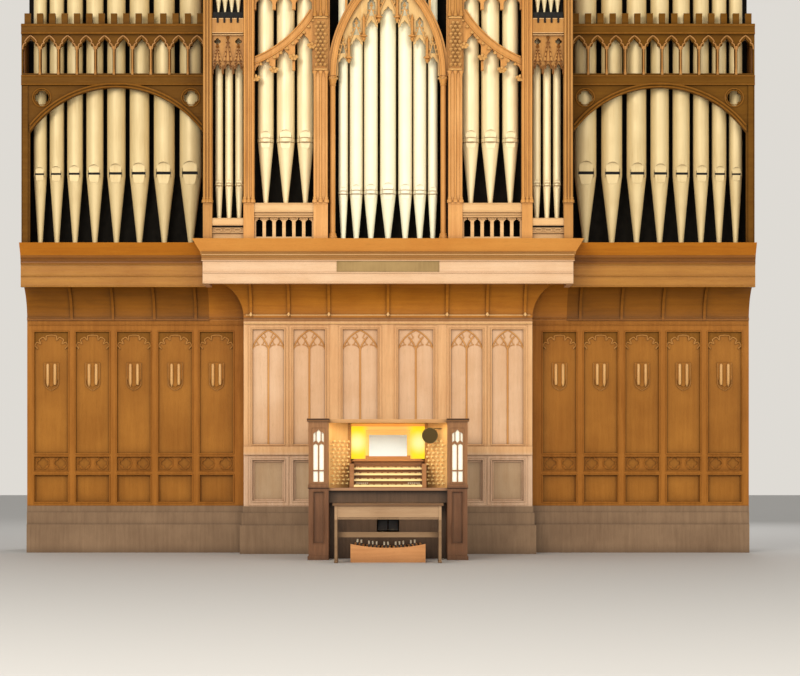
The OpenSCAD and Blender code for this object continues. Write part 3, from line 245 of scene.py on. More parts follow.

# %% [markdown]
# Old polish wears thin on edges, and corners lie in shade. The second group finds both: worn edges, and corners where
# the finishes paint that shade into their colour. A bevelled normal that differs from the true one marks an edge, and
# a point that sees little of the open room lies in a corner. Noise breaks the edges up, as hands and dusters do.

# %% Group: worn edges and painted corner shade
wear_and_shade, given, end = group(
    "wear_and_shade", {"Vector": VECTOR, "Edge Radius": ("Float", 0.004), "Shade Reach": ("Float", 0.12)},
    {"Edge": "Float", "Shade": "Float"})
soft = node(wear_and_shade, "Bevel", {"Radius": given["Edge Radius"]}, samples=2)[0]
alike = vector(wear_and_shade, "DOT_PRODUCT", soft, node(wear_and_shade, "NewGeometry", {})["Normal"])["Value"]
rubbed = ramp(wear_and_shade, noise(wear_and_shade, given["Vector"], 9.0, 5.0), 0.35, 0.65)
open_air = node(wear_and_shade, "AmbientOcclusion", {"Distance": given["Shade Reach"]}, samples=3)["AO"]
fill(wear_and_shade, end, {
    "Edge": maths(wear_and_shade, "MULTIPLY", ramp(wear_and_shade, alike, 0.995, 0.86), rubbed),
    # Painted shade: the less of the open room a point sees, the darker its finish is made.
    "Shade": ramp(wear_and_shade, open_air, 0.95, 0.25),
})
print("wear group with", len(wear_and_shade.nodes), "nodes")

# %% [markdown]
# Walls and roofs at the sides and the back are plain boards. The third group marks the seams between boards that stand
# side by side along X and along Y, and gives every board its own tone from a noise that is read at its number.

# %% Group: boards
boards, given, end = group(
    "boards", {"Vector": VECTOR, "Wide": ("Float", 0.2)}, {"Seam": "Float", "Tone": "Float"})
START = (20.07, 20.09, 0)
counted = vector(boards, "ADD", given["Vector"], START)[0]
number = vector(boards, "SCALE", counted, scale=maths(boards, "DIVIDE", 1.0, given["Wide"]))[0]
within = node(boards, "SeparateXYZ", {0: vector(boards, "FRACTION", number)[0]})
seams = [ramp(boards, within[axis], 0.03, 0.012) for axis in "XY"]
fill(boards, end, {
    "Seam": maths(boards, "MAXIMUM", *seams),
    "Tone": node(boards, "TexWhiteNoise", {"Vector": vector(boards, "FLOOR", number)[0]})["Value"],
})
print("boards group with", len(boards.nodes), "nodes")

# %% [markdown]
# Every finish starts alike: a pattern group and the wear and shade group read the piece's own coordinates, corners
# take a darker colour as painted shade, and the pattern's height becomes fine bumps. An oak adds paler edges, seams
# between boards where it is a wall, and zones, where a tint lies over all that is past a height or past a distance
# from the middle.

# %% Oak finishes
UP = (1.0, 1.0, 0.05)
LEVEL = (0.05, 1.0, 1.0)
# The first of these is how far painted shade darkens an oak's corners; the others weigh its boards' tones and seams.
CORNER_SHADE, TONE, SEAM = 0.75, 0.30, 0.85
finishes = {}


def blank(name):
    """A new finish: its tree, its place in the piece's coordinates, and its shader."""
    finishes[name] = bpy.data.materials.new(name)
    finishes[name].use_nodes = True
    tree = finishes[name].node_tree
    return tree, node(tree, "TexCoord", {})["Object"], tree.nodes["Principled BSDF"]


def start_finish(name, pattern, inputs, reach, stretch=None):
    """A blank finish, and the outputs of its pattern group and of its group of worn edges and painted corner shade."""
    tree, place, shader = blank(name)
    drawn = node(tree, "Mapping", {"Vector": place, "Scale": stretch})[0] if stretch else place
    look = node(tree, "Group", {"Vector": drawn, **inputs}, node_tree=pattern)
    use = node(tree, "Group", {"Vector": place, "Shade Reach": reach}, node_tree=wear_and_shade)
    return tree, place, shader, look, use


def bumped(tree, height, strength, depth):
    """A normal that follows a height."""
    return node(tree, "Bump", {"Height": height, "Strength": strength, "Distance": depth})[0]


def zoned(tree, place, colour, zones):
    """The colour, times each zone's tint where |x|, |y| or |z| lies past its end and times 1 before its start."""
    apart = node(tree, "SeparateXYZ", {0: place})
    for axis, start, end, tint in zones:
        share = ramp(tree, maths(tree, "ABSOLUTE", apart[axis]), start, end, interpolation_type="SMOOTHSTEP")
        colour = mixed(tree, share, colour, mixed(tree, 1.0, colour, (*tint, 1), blend_type="MULTIPLY"))
    return colour


def oak(name, light, dark, shade_and_seam_colour, along=UP, rough=0.42, figure=0.55, reach=0.12, worn=0.35, gloss=0.04, zones=(),
        polish=0.2, wide=0.0, lit=0.0):
    """Waxed oak from a light and a dark wood colour and a colour for painted shade in corners, also used for seams.

    wide is the width of a wall's boards, and lit is how strongly the wood glows in its own colour, as painted light.
    """
    light, dark, shade_and_seam_colour = linear(light), linear(dark), linear(shade_and_seam_colour)
    tree, place, shader, wood, use = start_finish(
        name, grain, {"Along": along, "Light": light, "Dark": dark, "Figure": figure, "Rough": rough}, reach)
    # Painted shade: the corners turn towards the shade colour.
    shaded = mixed(tree, scaled(tree, use["Shade"], CORNER_SHADE), wood["Color"], shade_and_seam_colour)
    pale = (*(min(1.0, c * 1.25 + 0.03) for c in light[:3]), 1.0)
    shown = mixed(tree, scaled(tree, use["Edge"], worn), shaded, pale)
    if wide:
        laid = node(tree, "Group", {"Vector": place, "Wide": wide}, node_tree=boards)
        shown = mixed(tree, scaled(tree, laid["Tone"], TONE), shown, dark)
        shown = mixed(tree, scaled(tree, laid["Seam"], SEAM), shown, shade_and_seam_colour)
    shown = zoned(tree, place, shown, zones)
    # Painted light: the wood glows in its own colour.
    if lit:
        fill(tree, shader, {"Emission Color": shown, "Emission Strength": lit})
    fill(tree, shader, {
        "Base Color": shown, "Roughness": wood["Roughness"], "Normal": bumped(tree, wood["Height"], 0.5, 0.0012),
        "Specular IOR Level": polish, "Coat Weight": gloss, "Coat Roughness": 0.25})


# Painted shade on the cornices: the first zone darkens all above the ledge, where the hollow lies in shade, and the
# second lifts the splay above it to a deeper orange than the fascia, the shade of a board that leans out and down.
HOLLOW_SHADE = ("Z", 3.537, 3.540)
SPLAY_SHADE = ("Z", 3.640, 3.643)
MATT = {"gloss": 0.0, "polish": 0.04}
# Above z 2.837 the screen is darker: painted shadow of the cove over the frieze.
oak("screen_oak", (236, 190, 138), (212, 158, 106), (122, 74, 32),
    zones=(("Z", 1.26, 1.18, (0.97, 1.12, 1.55)), ("Z", 2.834, 2.837, (0.52, 0.42, 0.28))))
oak("panel_oak", (233, 196, 160), (213, 168, 126), (127, 84, 49), figure=0.35,
    zones=(("Z", 1.20, 1.14, (0.74, 0.79, 0.78)),))
oak("low_oak", (150, 122, 94), (118, 92, 68), (62, 44, 30), figure=0.4)
oak("wing_screen_oak", (178, 116, 46), (146, 90, 30), (66, 36, 8), polish=0.06)
oak("wing_panel_oak", (174, 116, 46), (146, 92, 32), (68, 40, 10), figure=0.35, polish=0.06)
oak("cove_oak", (190, 123, 36), (157, 95, 23), (72, 39, 6), LEVEL, figure=0.45)
oak("wing_cove_oak", (153, 95, 22), (121, 73, 12), (54, 32, 5), LEVEL, figure=0.45)
oak("cornice_oak", (236, 202, 166), (221, 179, 137), (141, 87, 42), LEVEL, figure=0.4,
    zones=((*HOLLOW_SHADE, (0.57, 0.41, 0.17)), (*SPLAY_SHADE, (1.60, 1.43, 1.15))))
oak("wing_cornice_oak", (185, 129, 51), (162, 105, 34), (81, 46, 11), LEVEL,
    zones=((*HOLLOW_SHADE, (0.60, 0.50, 0.38)), (*SPLAY_SHADE, (1.92, 1.84, 1.05))))
oak("post_oak", (203, 148, 78), (176, 119, 54), (70, 36, 8), zones=(("X", 1.76, 1.74, (1.30, 1.30, 1.42)),))
# Below z 5.80 the pier is paler and pinker: painted light on its lower part.
oak("pier_oak", (207, 150, 80), (179, 119, 53), (79, 42, 11), zones=(("Z", 5.86, 5.80, (1.36, 1.48, 1.95)),))
oak("canopy_oak", (242, 208, 146), (218, 172, 104), (118, 70, 26), reach=0.08)
oak("leaf_oak", (240, 192, 122), (214, 158, 88), (96, 56, 22), reach=0.04)
oak("gablet_oak", (150, 96, 42), (116, 70, 26), (44, 24, 8), reach=0.04)
# This pale oak also paints glints: it colours the leaves at the cove ribs' feet.
oak("bead_and_glint_oak", (250, 212, 150), (232, 184, 118), (150, 92, 40), LEVEL)
# The flutes are painted pale as highlights on their rounded faces.
oak("flute_highlight_oak", (236, 190, 124), (204, 148, 82), (104, 60, 22), gloss=0.2)
oak("cusp_oak", (196, 142, 78), (168, 114, 52), (58, 32, 8), reach=0.05, polish=0.1)
oak("sill_oak", (240, 200, 146), (222, 174, 116), (128, 80, 34), LEVEL)
oak("top_oak", (214, 158, 88), (186, 130, 64), (89, 48, 12), LEVEL)
oak("carved_oak", (207, 150, 80), (179, 119, 53), (79, 42, 11), reach=0.05)
oak("wing_top_oak", (121, 81, 25), (99, 62, 15), (37, 19, 2), LEVEL, **MATT)
oak("wing_carved_oak", (146, 98, 38), (120, 76, 24), (42, 24, 4), reach=0.05, **MATT)
oak("arcade_oak", (200, 146, 82), (160, 108, 50), (70, 42, 14), reach=0.05)
oak("trace_oak", (222, 166, 100), (192, 132, 70), (110, 62, 24), reach=0.04)
oak("wall_oak", (150, 100, 50), (122, 76, 32), (58, 34, 12), figure=0.5, wide=0.222)
oak("deck_oak", (112, 78, 46), (88, 58, 32), (40, 26, 14), LEVEL, rough=0.6, wide=0.185)
oak("console_oak", (138, 95, 64), (100, 64, 40), (44, 28, 16), figure=0.6,
    zones=(("Z", 0.80, 0.90, (1.65, 1.75, 1.55)),))
oak("crown_oak", (222, 172, 116), (196, 144, 90), (70, 44, 24), LEVEL,
    zones=(("X", 0.664, 0.672, (0.34, 0.28, 0.24)),))
oak("knee_oak", (104, 80, 60), (80, 60, 44), (34, 24, 16), figure=0.6)
# The jambs are pale and glow: painted light from the console's lamps.
oak("lamp_lit_jamb_oak", (248, 208, 140), (236, 182, 108), (150, 100, 49), figure=0.5, lit=0.14,
    zones=(("X", 0.468, 0.463, (0.66, 0.52, 0.40)),))
oak("dark_oak", (84, 56, 36), (60, 38, 24), (28, 18, 12), LEVEL)
oak("key_oak", (186, 128, 78), (148, 96, 54), (70, 40, 18), LEVEL, zones=(("Z", 0.824, 0.819, (0.92, 1.15, 1.75)),))
oak("bench_oak", (185, 152, 117), (157, 122, 89), (76, 50, 30), LEVEL, rough=0.5,
    zones=(("Z", 0.628, 0.632, (0.45, 0.38, 0.33)), ("Z", 0.480, 0.470, (0.62, 0.60, 0.56))))
oak("heel_oak", (208, 148, 93), (174, 116, 68), (86, 50, 22), LEVEL, rough=0.5)
oak("music_oak", (206, 146, 84), (176, 116, 60), (96, 54, 22), LEVEL)
print("oaks", list(finishes))

# %% [markdown]
# The front pipes are soft metal under a cream lacquer. Sheets of cast metal show faint upright streaks and slow
# clouds, and the corners are darkened as painted shade. The gloss is broad, so each pipe carries one soft upright
# highlight.

# %% Pipe metal
streaks, given, end = group(
    "streaks", {"Vector": VECTOR, "Pale": WHITE, "Deep": ("Color", (0.7, 0.7, 0.6, 1)), "Share": ("Float", 0.5)},
    {"Color": "Color", "Cloud": "Float", "Height": "Float"})
long = vector(streaks, "MULTIPLY", given["Vector"], (1, 1, 0.06))[0]
line_mask = ramp(streaks, noise(streaks, long, 46.0, 3.0), 0.35, 0.7)
cloud_mask = ramp(streaks, noise(streaks, given["Vector"], 3.2, 4.0), 0.35, 0.7)
amount = maths(streaks, "MULTIPLY", maths(streaks, "MULTIPLY", line_mask, cloud_mask), given["Share"])
fill(streaks, end, {
    "Color": mixed(streaks, amount, given["Pale"], given["Deep"]), "Cloud": cloud_mask,
    "Height": noise(streaks, given["Vector"], 60.0, 2.0)})


def metal(name, pale, deep, rough=0.34, shine=0.25, share=0.6, depth=0.0006, shade_and_seam_colour=None):
    """Lacquered or bare metal with upright streaks and painted corner shade; shine is how metallic its surface is."""
    pale, deep = linear(pale), linear(deep)
    # The colour of the painted corner shade: the one given, else the deep colour darkened.
    dark = linear(shade_and_seam_colour) if shade_and_seam_colour else (*(c * 0.35 for c in deep[:3]), 1.0)
    tree, place, shader, sheet, use = start_finish(
        name, streaks, {"Pale": pale, "Deep": deep, "Share": share}, 0.06)
    fill(tree, shader, {
        "Base Color": mixed(tree, scaled(tree, use["Shade"], 0.6), sheet["Color"], dark),
        "Roughness": scaled(tree, sheet["Cloud"], 0.14, rough), "Metallic": shine,
        "Normal": bumped(tree, sheet["Height"], 0.25, depth)})


metal("cream_metal", (255, 253, 224), (246, 234, 192), rough=0.45, shine=0.08, share=0.3, shade_and_seam_colour=(176, 132, 70))
metal("bay_metal", (246, 230, 186), (228, 204, 152), rough=0.4, shine=0.14, share=0.45, shade_and_seam_colour=(140, 104, 56))
# The wing pipes' metal is a darker copy of the bay pipes' metal, with dark corners: painted shade on the wings.
metal("shaded_wing_metal", (225, 203, 152), (203, 175, 122), rough=0.46, shine=0.12, shade_and_seam_colour=(80, 57, 28))
metal("brass", (126, 104, 68), (96, 74, 43), rough=0.28, shine=0.85, share=0.8)
metal("iron", (58, 56, 56), (34, 32, 32), rough=0.5, shine=0.6, share=0.7)
metal("mirror_face", (52, 42, 24), (40, 32, 18), rough=0.05, shine=1.0, share=0.2, depth=0.0)
print("metals", list(finishes)[-6:])

# %% [markdown]
# The rest are quieter: dark paint on the boards behind the pipes, which also stands in for the shade inside the case,
# ivory with fine lines for keys and knobs, polished black wood for the sharps, paper, obscured glass, and a warm lamp
# in the console. The keys and knobs take a warmer ivory, and they and the glass glow with painted light.

# %% Paint, ivory, paper and glass
speckle, given, end = group(
    "speckle",
    {"Vector": VECTOR, "First": WHITE, "Second": ("Color", (0.8, 0.8, 0.8, 1)), "Scale": ("Float", 20.0)},
    {"Color": "Color", "Mask": "Float"})
dots = ramp(speckle, noise(speckle, given["Vector"], given["Scale"], 6.0), 0.3, 0.7)
fill(speckle, end, {"Color": mixed(speckle, dots, given["First"], given["Second"]), "Mask": dots})


def coat(name, first, second, scale, rough, stretch=(1, 1, 1), glow=0.0):
    """Two close colours in fine specks, with bumps and gloss that follow them, painted corner shade and a glow."""
    first, second = linear(first), linear(second)
    tree, place, shader, dust, use = start_finish(
        name, speckle, {"First": first, "Second": second, "Scale": scale}, 0.03, stretch)
    # Painted shade in the corners: the second colour darkened.
    dark = (*(c * 0.4 for c in second[:3]), 1.0)
    shown = mixed(tree, scaled(tree, use["Shade"], 0.6), dust["Color"], dark)
    # The lamp strips glow with their own light; on the other finishes the glow is painted light.
    if glow:
        fill(tree, shader, {"Emission Color": shown, "Emission Strength": glow})
    fill(tree, shader, {
        "Base Color": shown, "Roughness": scaled(tree, dust["Mask"], 0.12, rough),
        "Normal": bumped(tree, dust["Mask"], 0.3, 0.0004)})
    return shader


# The dark paint behind the pipes also stands in for the shade inside the case.
paint = coat("dark_paint_and_shade", (22, 18, 12), (14, 12, 9), 14.0, 0.7)
paint.inputs["Specular IOR Level"].default_value = 0.08
# Black for slots and bands; in the wing pipes' mouths it is painted shade of the openings.
coat("void_black", (20, 16, 12), (12, 10, 8), 30.0, 0.8)
coat("thin_brown", (168, 124, 70), (140, 98, 52), 40.0, 0.4)
coat("ivory", (246, 238, 214), (234, 222, 190), 120.0, 0.22, stretch=(1, 0.1, 1))
# Painted light: the keys and knobs are warmer than the ivory and glow, as if lit by the console's lamps.
coat("lit_ivory", (255, 230, 166), (244, 208, 130), 160.0, 0.22, glow=0.16)
coat("ebony", (36, 30, 28), (22, 18, 16), 200.0, 0.25, stretch=(1, 0.1, 1))
coat("paper", (233, 250, 255), (223, 240, 250), 260.0, 0.8)
# Painted light: the pier glass glows, though it is no lamp.
coat("obscured_glass", (254, 248, 228), (240, 230, 204), 90.0, 0.18, glow=0.4)
coat("lamp_glow", (1.0, 0.72, 0.36, 1), (1.0, 0.78, 0.42, 1), 12.0, 0.4, glow=14.0)
print("finishes so far:", len(finishes))

# %% [markdown]
# The console's recess is lit from its sides, and that light is painted: its boards glow yellow towards the sides,
# nearly white at a heart on each side, and orange in the middle and along the top. The masks come from |x| and z, and
# slow noise varies the strength. The music desk glows with the same painted light above its lower edge.

# %% The lit recess, in painted light
def painted_recess_light(tree, place):
    """The painted light of the lit boards: its colour and strength at a place."""
    apart = node(tree, "SeparateXYZ", {0: place})
    across = maths(tree, "ABSOLUTE", apart["X"])
    spot = node(tree, "CombineXYZ", {"X": across, "Z": apart["Z"]})[0]
    reach = vector(tree, "DISTANCE", spot, (0.37, 0, 1.35))["Value"]
    side = ramp(tree, across, 0.20, 0.32, interpolation_type="SMOOTHSTEP")
    heart = ramp(tree, reach, 0.16, 0.02, interpolation_type="SMOOTHSTEP")
    brow = ramp(tree, apart["Z"], 1.540, 1.544)
    shown = mixed(tree, side, linear((248, 196, 106)), linear((255, 236, 40)))
    shown = mixed(tree, heart, shown, linear((255, 255, 176)))
    shown = mixed(tree, brow, shown, linear((236, 162, 70)))
    return shown, ramp(tree, noise(tree, place, 7.0, 3.0), 0.0, 1.0, 0.66, 0.86)


tree, place, shader = blank("lit_board")
shown, dull = painted_recess_light(tree, place)
fill(tree, shader, {"Base Color": shown, "Roughness": 0.5, "Emission Color": shown, "Emission Strength": dull})
tree = finishes["music_oak"].node_tree
place = node(tree, "TexCoord", {})["Object"]
shown, dull = painted_recess_light(tree, place)
above = ramp(tree, node(tree, "SeparateXYZ", {0: place})["Z"], 1.185, 1.200)
strength = maths(tree, "MULTIPLY", dull, above)
fill(tree, tree.nodes["Principled BSDF"], {"Emission Color": shown, "Emission Strength": strength})
print("finishes in all:", len(finishes))

# %% [markdown]
# Each solid from the model now takes its finish through its own material slots; nothing about its mesh changes.

# %% Finishes on the solids
wearers = {
    "screen_oak": "centre_screen centre_returns", "panel_oak": "centre_panels", "low_oak": "plinth",
    "wing_screen_oak": "wing_screens", "wing_panel_oak": "wing_panel_boards shields",
    "wall_oak": "side_walls back_wall tower_sides wing_ends chamber_back", "deck_oak": "pipe_deck chamber_roofs",
    "cove_oak": "cove_centre", "wing_cove_oak": "wing_coves", "cornice_oak": "cornice_centre",
    "wing_cornice_oak": "wing_cornices", "dark_paint_and_shade": "backing_boards", "pier_oak": "arch_piers",
    "post_oak": "outer_posts bay_posts colonnettes centre_arch bay_rakes bay_heads narrow_heads",
    "canopy_oak": "arch_canopy", "sill_oak": "bay_sills narrow_sills", "top_oak": "top_cornice",
    "carved_oak": "pinnacles", "wing_top_oak": "wing_arches wing_arcades", "cream_metal": "pipes_centre",
    "bay_metal": "pipes_bays pipes_narrow", "shaded_wing_metal": "pipes_wings", "brass": "brass_plate mirror_arm",
    "console_oak": "console_piers console_back", "crown_oak": "console_crown", "knee_oak": "kneeboard",
    "lamp_lit_jamb_oak": "stop_jambs", "key_oak": "key_desk", "music_oak": "music_desk",
    "lit_ivory": "stop_knobs manual_keys", "paper": "music_pages", "mirror_face": "mirror_glass",
    "iron": "swell_shaft swell_pedal_left swell_pedal_right", "heel_oak": "pedalboard", "ebony": "pedal_sharps",
    "bench_oak": "bench",
}
finish_of = {name: finish for finish, names in wearers.items() for name in names.split()}
for name, thing in nodes.items():
    thing.data.materials.clear()
    thing.data.materials.append(finishes[finish_of[name]])
print(len(finish_of), "solids have a finish;", sorted(set(nodes) - set(finish_of)), "left over")

# %% [markdown]
# Added pieces are surfaces worked out with numpy. A part is an array of points with an array of four-sided faces and
# one of triangles. The grid helper turns a grid of points into such a part and closes its ends, and it turns the
# faces round where their volume comes out negative, so every part faces outwards from the start.

# %% Grids of points
def volume(points, quads, tris):
    """Signed volume: a . (b x c) / 6 summed over all triangles, positive when the faces point outwards."""
    halves = [quads[:, [0, 1, 2]], quads[:, [0, 2, 3]], tris]
    a, b, c = (points[np.vstack(halves)][:, k] for k in range(3))
    return float(np.einsum("ij,ij->", a, np.cross(b, c)) / 6)


def grid(points, loop=False):
    """A part from points[row, column]: columns wrap round, and rows do with loop; else each end row gets a fan."""
    rows, columns = points.shape[:2]
    index = np.arange(rows * columns).reshape(rows, columns)
    low = index if loop else index[:-1]
    high = np.roll(index, -1, 0) if loop else index[1:]
    quads = np.stack([low, np.roll(low, -1, 1), np.roll(high, -1, 1), high], -1).reshape(-1, 4)
    flat = points.reshape(-1, 3)
    tris = np.empty((0, 3), int)
    if not loop:
        flat = np.vstack([flat, points[0].mean(0), points[-1].mean(0)])
        first, last = np.full(columns, rows * columns), np.full(columns, rows * columns + 1)
        tris = np.vstack([
            np.stack([np.roll(index[0], -1), index[0], first], 1),
            np.stack([index[-1], np.roll(index[-1], -1), last], 1),
        ])
    if volume(flat, quads, tris) < 0:
        quads, tris = quads[:, ::-1], tris[:, ::-1]
    return flat, quads, tris


def join(parts):
    """One part from many, each one's face numbers raised by the points before it."""
    starts = np.cumsum([0] + [len(p[0]) for p in parts[:-1]])
    return (
        np.vstack([p[0] for p in parts]),
        np.vstack([p[1] + s for p, s in zip(parts, starts)]),
        np.vstack([p[2] + s for p, s in zip(parts, starts)]),
    )


def repeat(part, places):
    """The part at each place: its points plus every offset, as one array."""
    points, quads, tris = part
    places = np.asarray(places, float).reshape(-1, 3)
    step = (np.arange(len(places)) * len(points))[:, None, None]
    return (points + places[:, None]).reshape(-1, 3), (quads + step).reshape(-1, 4), (tris + step).reshape(-1, 3)


def flip(part):
    """The part's image on the other side of the organ: x becomes -x, and the faces are turned to match."""
    points, quads, tris = part
    return points * np.array([-1, 1, 1]), quads[:, ::-1], tris[:, ::-1]


def pair(*parts):
    """The parts and their images, as one part."""
    whole = join(parts)
    return join([whole, flip(whole)])


def turn(part, degrees, axis="y"):
    """The part turned about the Y or the Z axis."""
    points, quads, tris = part
    c, s = math.cos(math.radians(degrees)), math.sin(math.radians(degrees))
    spin = {"y": [[c, 0, s], [0, 1, 0], [-s, 0, c]], "z": [[c, -s, 0], [s, c, 0], [0, 0, 1]]}[axis]
    return points @ np.array(spin).T, quads, tris


def piece(name, part, finish, smooth=True, body="case"):
    """A Blender object from a part, riding on a body. A smooth part shades round but for edges past 40 degrees."""
    points, quads, tris = part
    mesh = bpy.data.meshes.new(name)
    mesh.from_pydata(points.tolist(), [], quads.tolist() + tris.tolist())
    mesh.update()
    mesh.polygons.foreach_set("use_smooth", np.full(len(mesh.polygons), smooth))
    if smooth:
        mesh.set_sharp_from_angle(angle=math.radians(40))
    mesh.materials.append(finishes[finish])
    thing = bpy.data.objects.new(name, mesh)
    bpy.context.scene.collection.objects.link(thing)
    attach(thing, body)
    print(name, len(quads) * 2 + len(tris), "triangles")


# %% [markdown]
# A moulding is a small outline carried along a path, and turned work is an outline spun round an axis. Both are
# grids: one parameter runs along the path or outline, the other round the section.

# %% Mouldings and turned work
def carry(path, outline, loop=False):
    """path[i] + outline[j, 0] * side[i] + outline[j, 1] * ahead[i].

    ahead is the way to the front, -Y, made square to the path, and side is the path's direction crossed with ahead.
    """
    path = np.asarray(path, float)
    way = (np.roll(path, -1, 0) - np.roll(path, 1, 0)) if loop else np.gradient(path, axis=0)
    way /= np.linalg.norm(way, axis=1, keepdims=True)
    front = np.array([0.0, -1.0, 0.0])
    ahead = front - way * (way @ front)[:, None]
    ahead /= np.linalg.norm(ahead, axis=1, keepdims=True)
    side = np.cross(way, ahead)
    outline = np.asarray(outline, float)[None]
    return grid(path[:, None] + outline[..., :1] * side[:, None] + outline[..., 1:] * ahead[:, None], loop)


def roll(radius, steps=8):
    """A round outline: (r cos t, r sin t)."""
    t = np.linspace(0, 2 * math.pi, steps, endpoint=False)
    return np.stack([radius * np.cos(t), radius * np.sin(t)], 1)


def arc(centre, radius, start, end, y, steps=25):
    """Points on a circle in the X-Z plane: (cx + r cos t, y, cz + r sin t), t in degrees."""
    t = np.radians(np.linspace(start, end, steps))
    return np.stack([centre[0] + radius * np.cos(t), np.full(steps, y), centre[1] + radius * np.sin(t)], 1)


def line(start, end, steps=2):
    """Points evenly along a straight line."""
    return np.linspace(start, end, steps)


def turned(profile, centre=(0, 0, 0), steps=16, lobes=0, swell=0.0, axis="z"):
    """(r cos t, r sin t, h) for each (r, h) of the profile, with r swollen by 1 + swell cos(lobes t).

    The axis is upright. With axis "y" it points to the front, and the points are (r cos t, -h, r sin t).
    """
    t = np.linspace(0, 2 * math.pi, steps, endpoint=False)
    r, h = np.asarray(profile, float).T
    out = r[:, None] * (1 + swell * np.cos(lobes * t))
    ring = np.stack([out * np.cos(t), out * np.sin(t), np.repeat(h[:, None], steps, 1)], -1)
    if axis == "y":
        ring = ring[..., [0, 2, 1]] * np.array([1, -1, 1])
    return grid(ring + np.asarray(centre, float))


def bar(x0, x1, y0, y1, z0, z1, edge=0.003):
    """A bar along X whose four long edges are cut off by edge, and whose ends draw in by as much."""
    e = min(edge, (y1 - y0) / 3, (z1 - z0) / 3, (x1 - x0) / 3)
    y = np.array([y0 + e, y1 - e, y1, y1, y1 - e, y0 + e, y0, y0])
    z = np.array([z0, z0, z0 + e, z1 - e, z1, z1, z1 - e, z0 + e])
    middle = np.array([(y0 + y1) / 2, (z0 + z1) / 2])
    shrink = 1 - 2 * e / np.array([y1 - y0, z1 - z0])
    rows = [(x0, shrink), (x0 + e, 1.0), (x1 - e, 1.0), (x1, shrink)]
    ring = [np.stack([np.full(8, x), *(np.stack([y, z]).T * k + middle * (1 - k)).T], 1) for x, k in rows]
    return grid(np.stack(ring))


def leaf(length, width, thick, curl, rows=9, columns=8):
    """A carved leaf that rises along Z and curls over towards -Y.

    Along it, with u from 0 to 1: z = length sin(curl u) / curl, y = -length (1 - cos(curl u)) / curl, its width is
    sin(pi u) to the power 0.6 with three lobes, and its section is an ellipse.
    """
    u = np.linspace(0.03, 0.97, rows)
    t = np.linspace(0, 2 * math.pi, columns, endpoint=False)
    wide = width / 2 * np.sin(math.pi * u) ** 0.6 * (1 + 0.22 * np.cos(2 * math.pi * 3 * u))
    deep = thick / 2 * np.sin(math.pi * u) ** 0.5
    bend = curl * u
    spine = np.stack([0 * u, -length * (1 - np.cos(bend)) / curl, length * np.sin(bend) / curl], -1)
    out = np.stack([0 * u, -np.cos(bend), -np.sin(bend)], -1)
    across = wide[:, None, None] * np.cos(t)[None, :, None] * np.array([1.0, 0, 0])
    through = deep[:, None, None] * np.sin(t)[None, :, None] * out[:, None]
    return grid(spine[:, None] + across + through)


print("helpers ready; a leaf has", len(leaf(0.1, 0.05, 0.02, 1.5)[1]), "faces")

# %% [markdown]
# The pipes come first, since they fill the upper half. In the centre each front pipe has a pale band of metal round
# its mouth with a thin line above and below it. In the wings a black bar inside each pipe shows through its mouth:
# painted shade of the opening. An ear of metal stands at each end of every mouth. Each row below lists its pipes by
# the middle, the radius, the mouth's height and the depth.

# %% Places of the pipes
BAY, NARROW, UNIT = X_BAY - X_PIER, X_NARROW - X_POST, (X_WING_END - X_WING) / 8
X_MID = X_POST + NARROW / 2
Y_PIPES, Y_WING_PIPES = Y_POST + 0.22, Y_WING_SCREEN + 0.22
wing_x = [X_WING + UNIT * (0.645 + 1.23 * i - 0.077 * i * (i - 1) / 2) for i in range(8)]
pipe_rows = {
    "centre": [(x, w * X_OPEN / 2, Z_DECK + 0.605, Y_PIPES) for x, w in
               ((0.0, 0.316), (0.34 * X_OPEN, 0.275), (0.6285 * X_OPEN, 0.2586), (0.8863 * X_OPEN, 0.19))],
    "bay": [(X_PIER + p * BAY, w * BAY / 2, Z_SILL + 0.765, Y_PIPES) for p, w in
            ((0.148, 0.286), (0.482, 0.304), (0.822, 0.27))],
    "narrow": [(X_MID + i * 0.3228 * NARROW, NARROW / 8, Z_NARROW_SILL + 0.425, Y_PIPES) for i in (-1, 0, 1)],
    "wing": [(x, UNIT * (1.026 - 0.06 * i) / 2, Z_DECK + 0.88, Y_WING_PIPES) for i, x in enumerate(wing_x)],
}
row_finish = {"centre": "cream_metal", "bay": "bay_metal", "narrow": "bay_metal", "wing": "shaded_wing_metal"}
print({k: len(v) for k, v in pipe_rows.items()})

# %% Bands, slots and ears of the mouths
def sleeve(x, r, y, z0, z1, proud):
    """A ring round a pipe: an outline with sloping ends from z0 to z1, spun at radius r + proud."""
    soft = min(0.003, (z1 - z0) / 3)
    inner = r - 0.002
    rows = [(inner, z0), (r + proud, z0 + soft), (r + proud, z1 - soft), (inner, z1)]
    t = np.linspace(0, 2 * math.pi, 32, endpoint=False)
    ring = np.array([[x + a * np.cos(t), y + a * np.sin(t), np.full(32, h)] for a, h in rows])
    return grid(ring.transpose(2, 0, 1), loop=True)


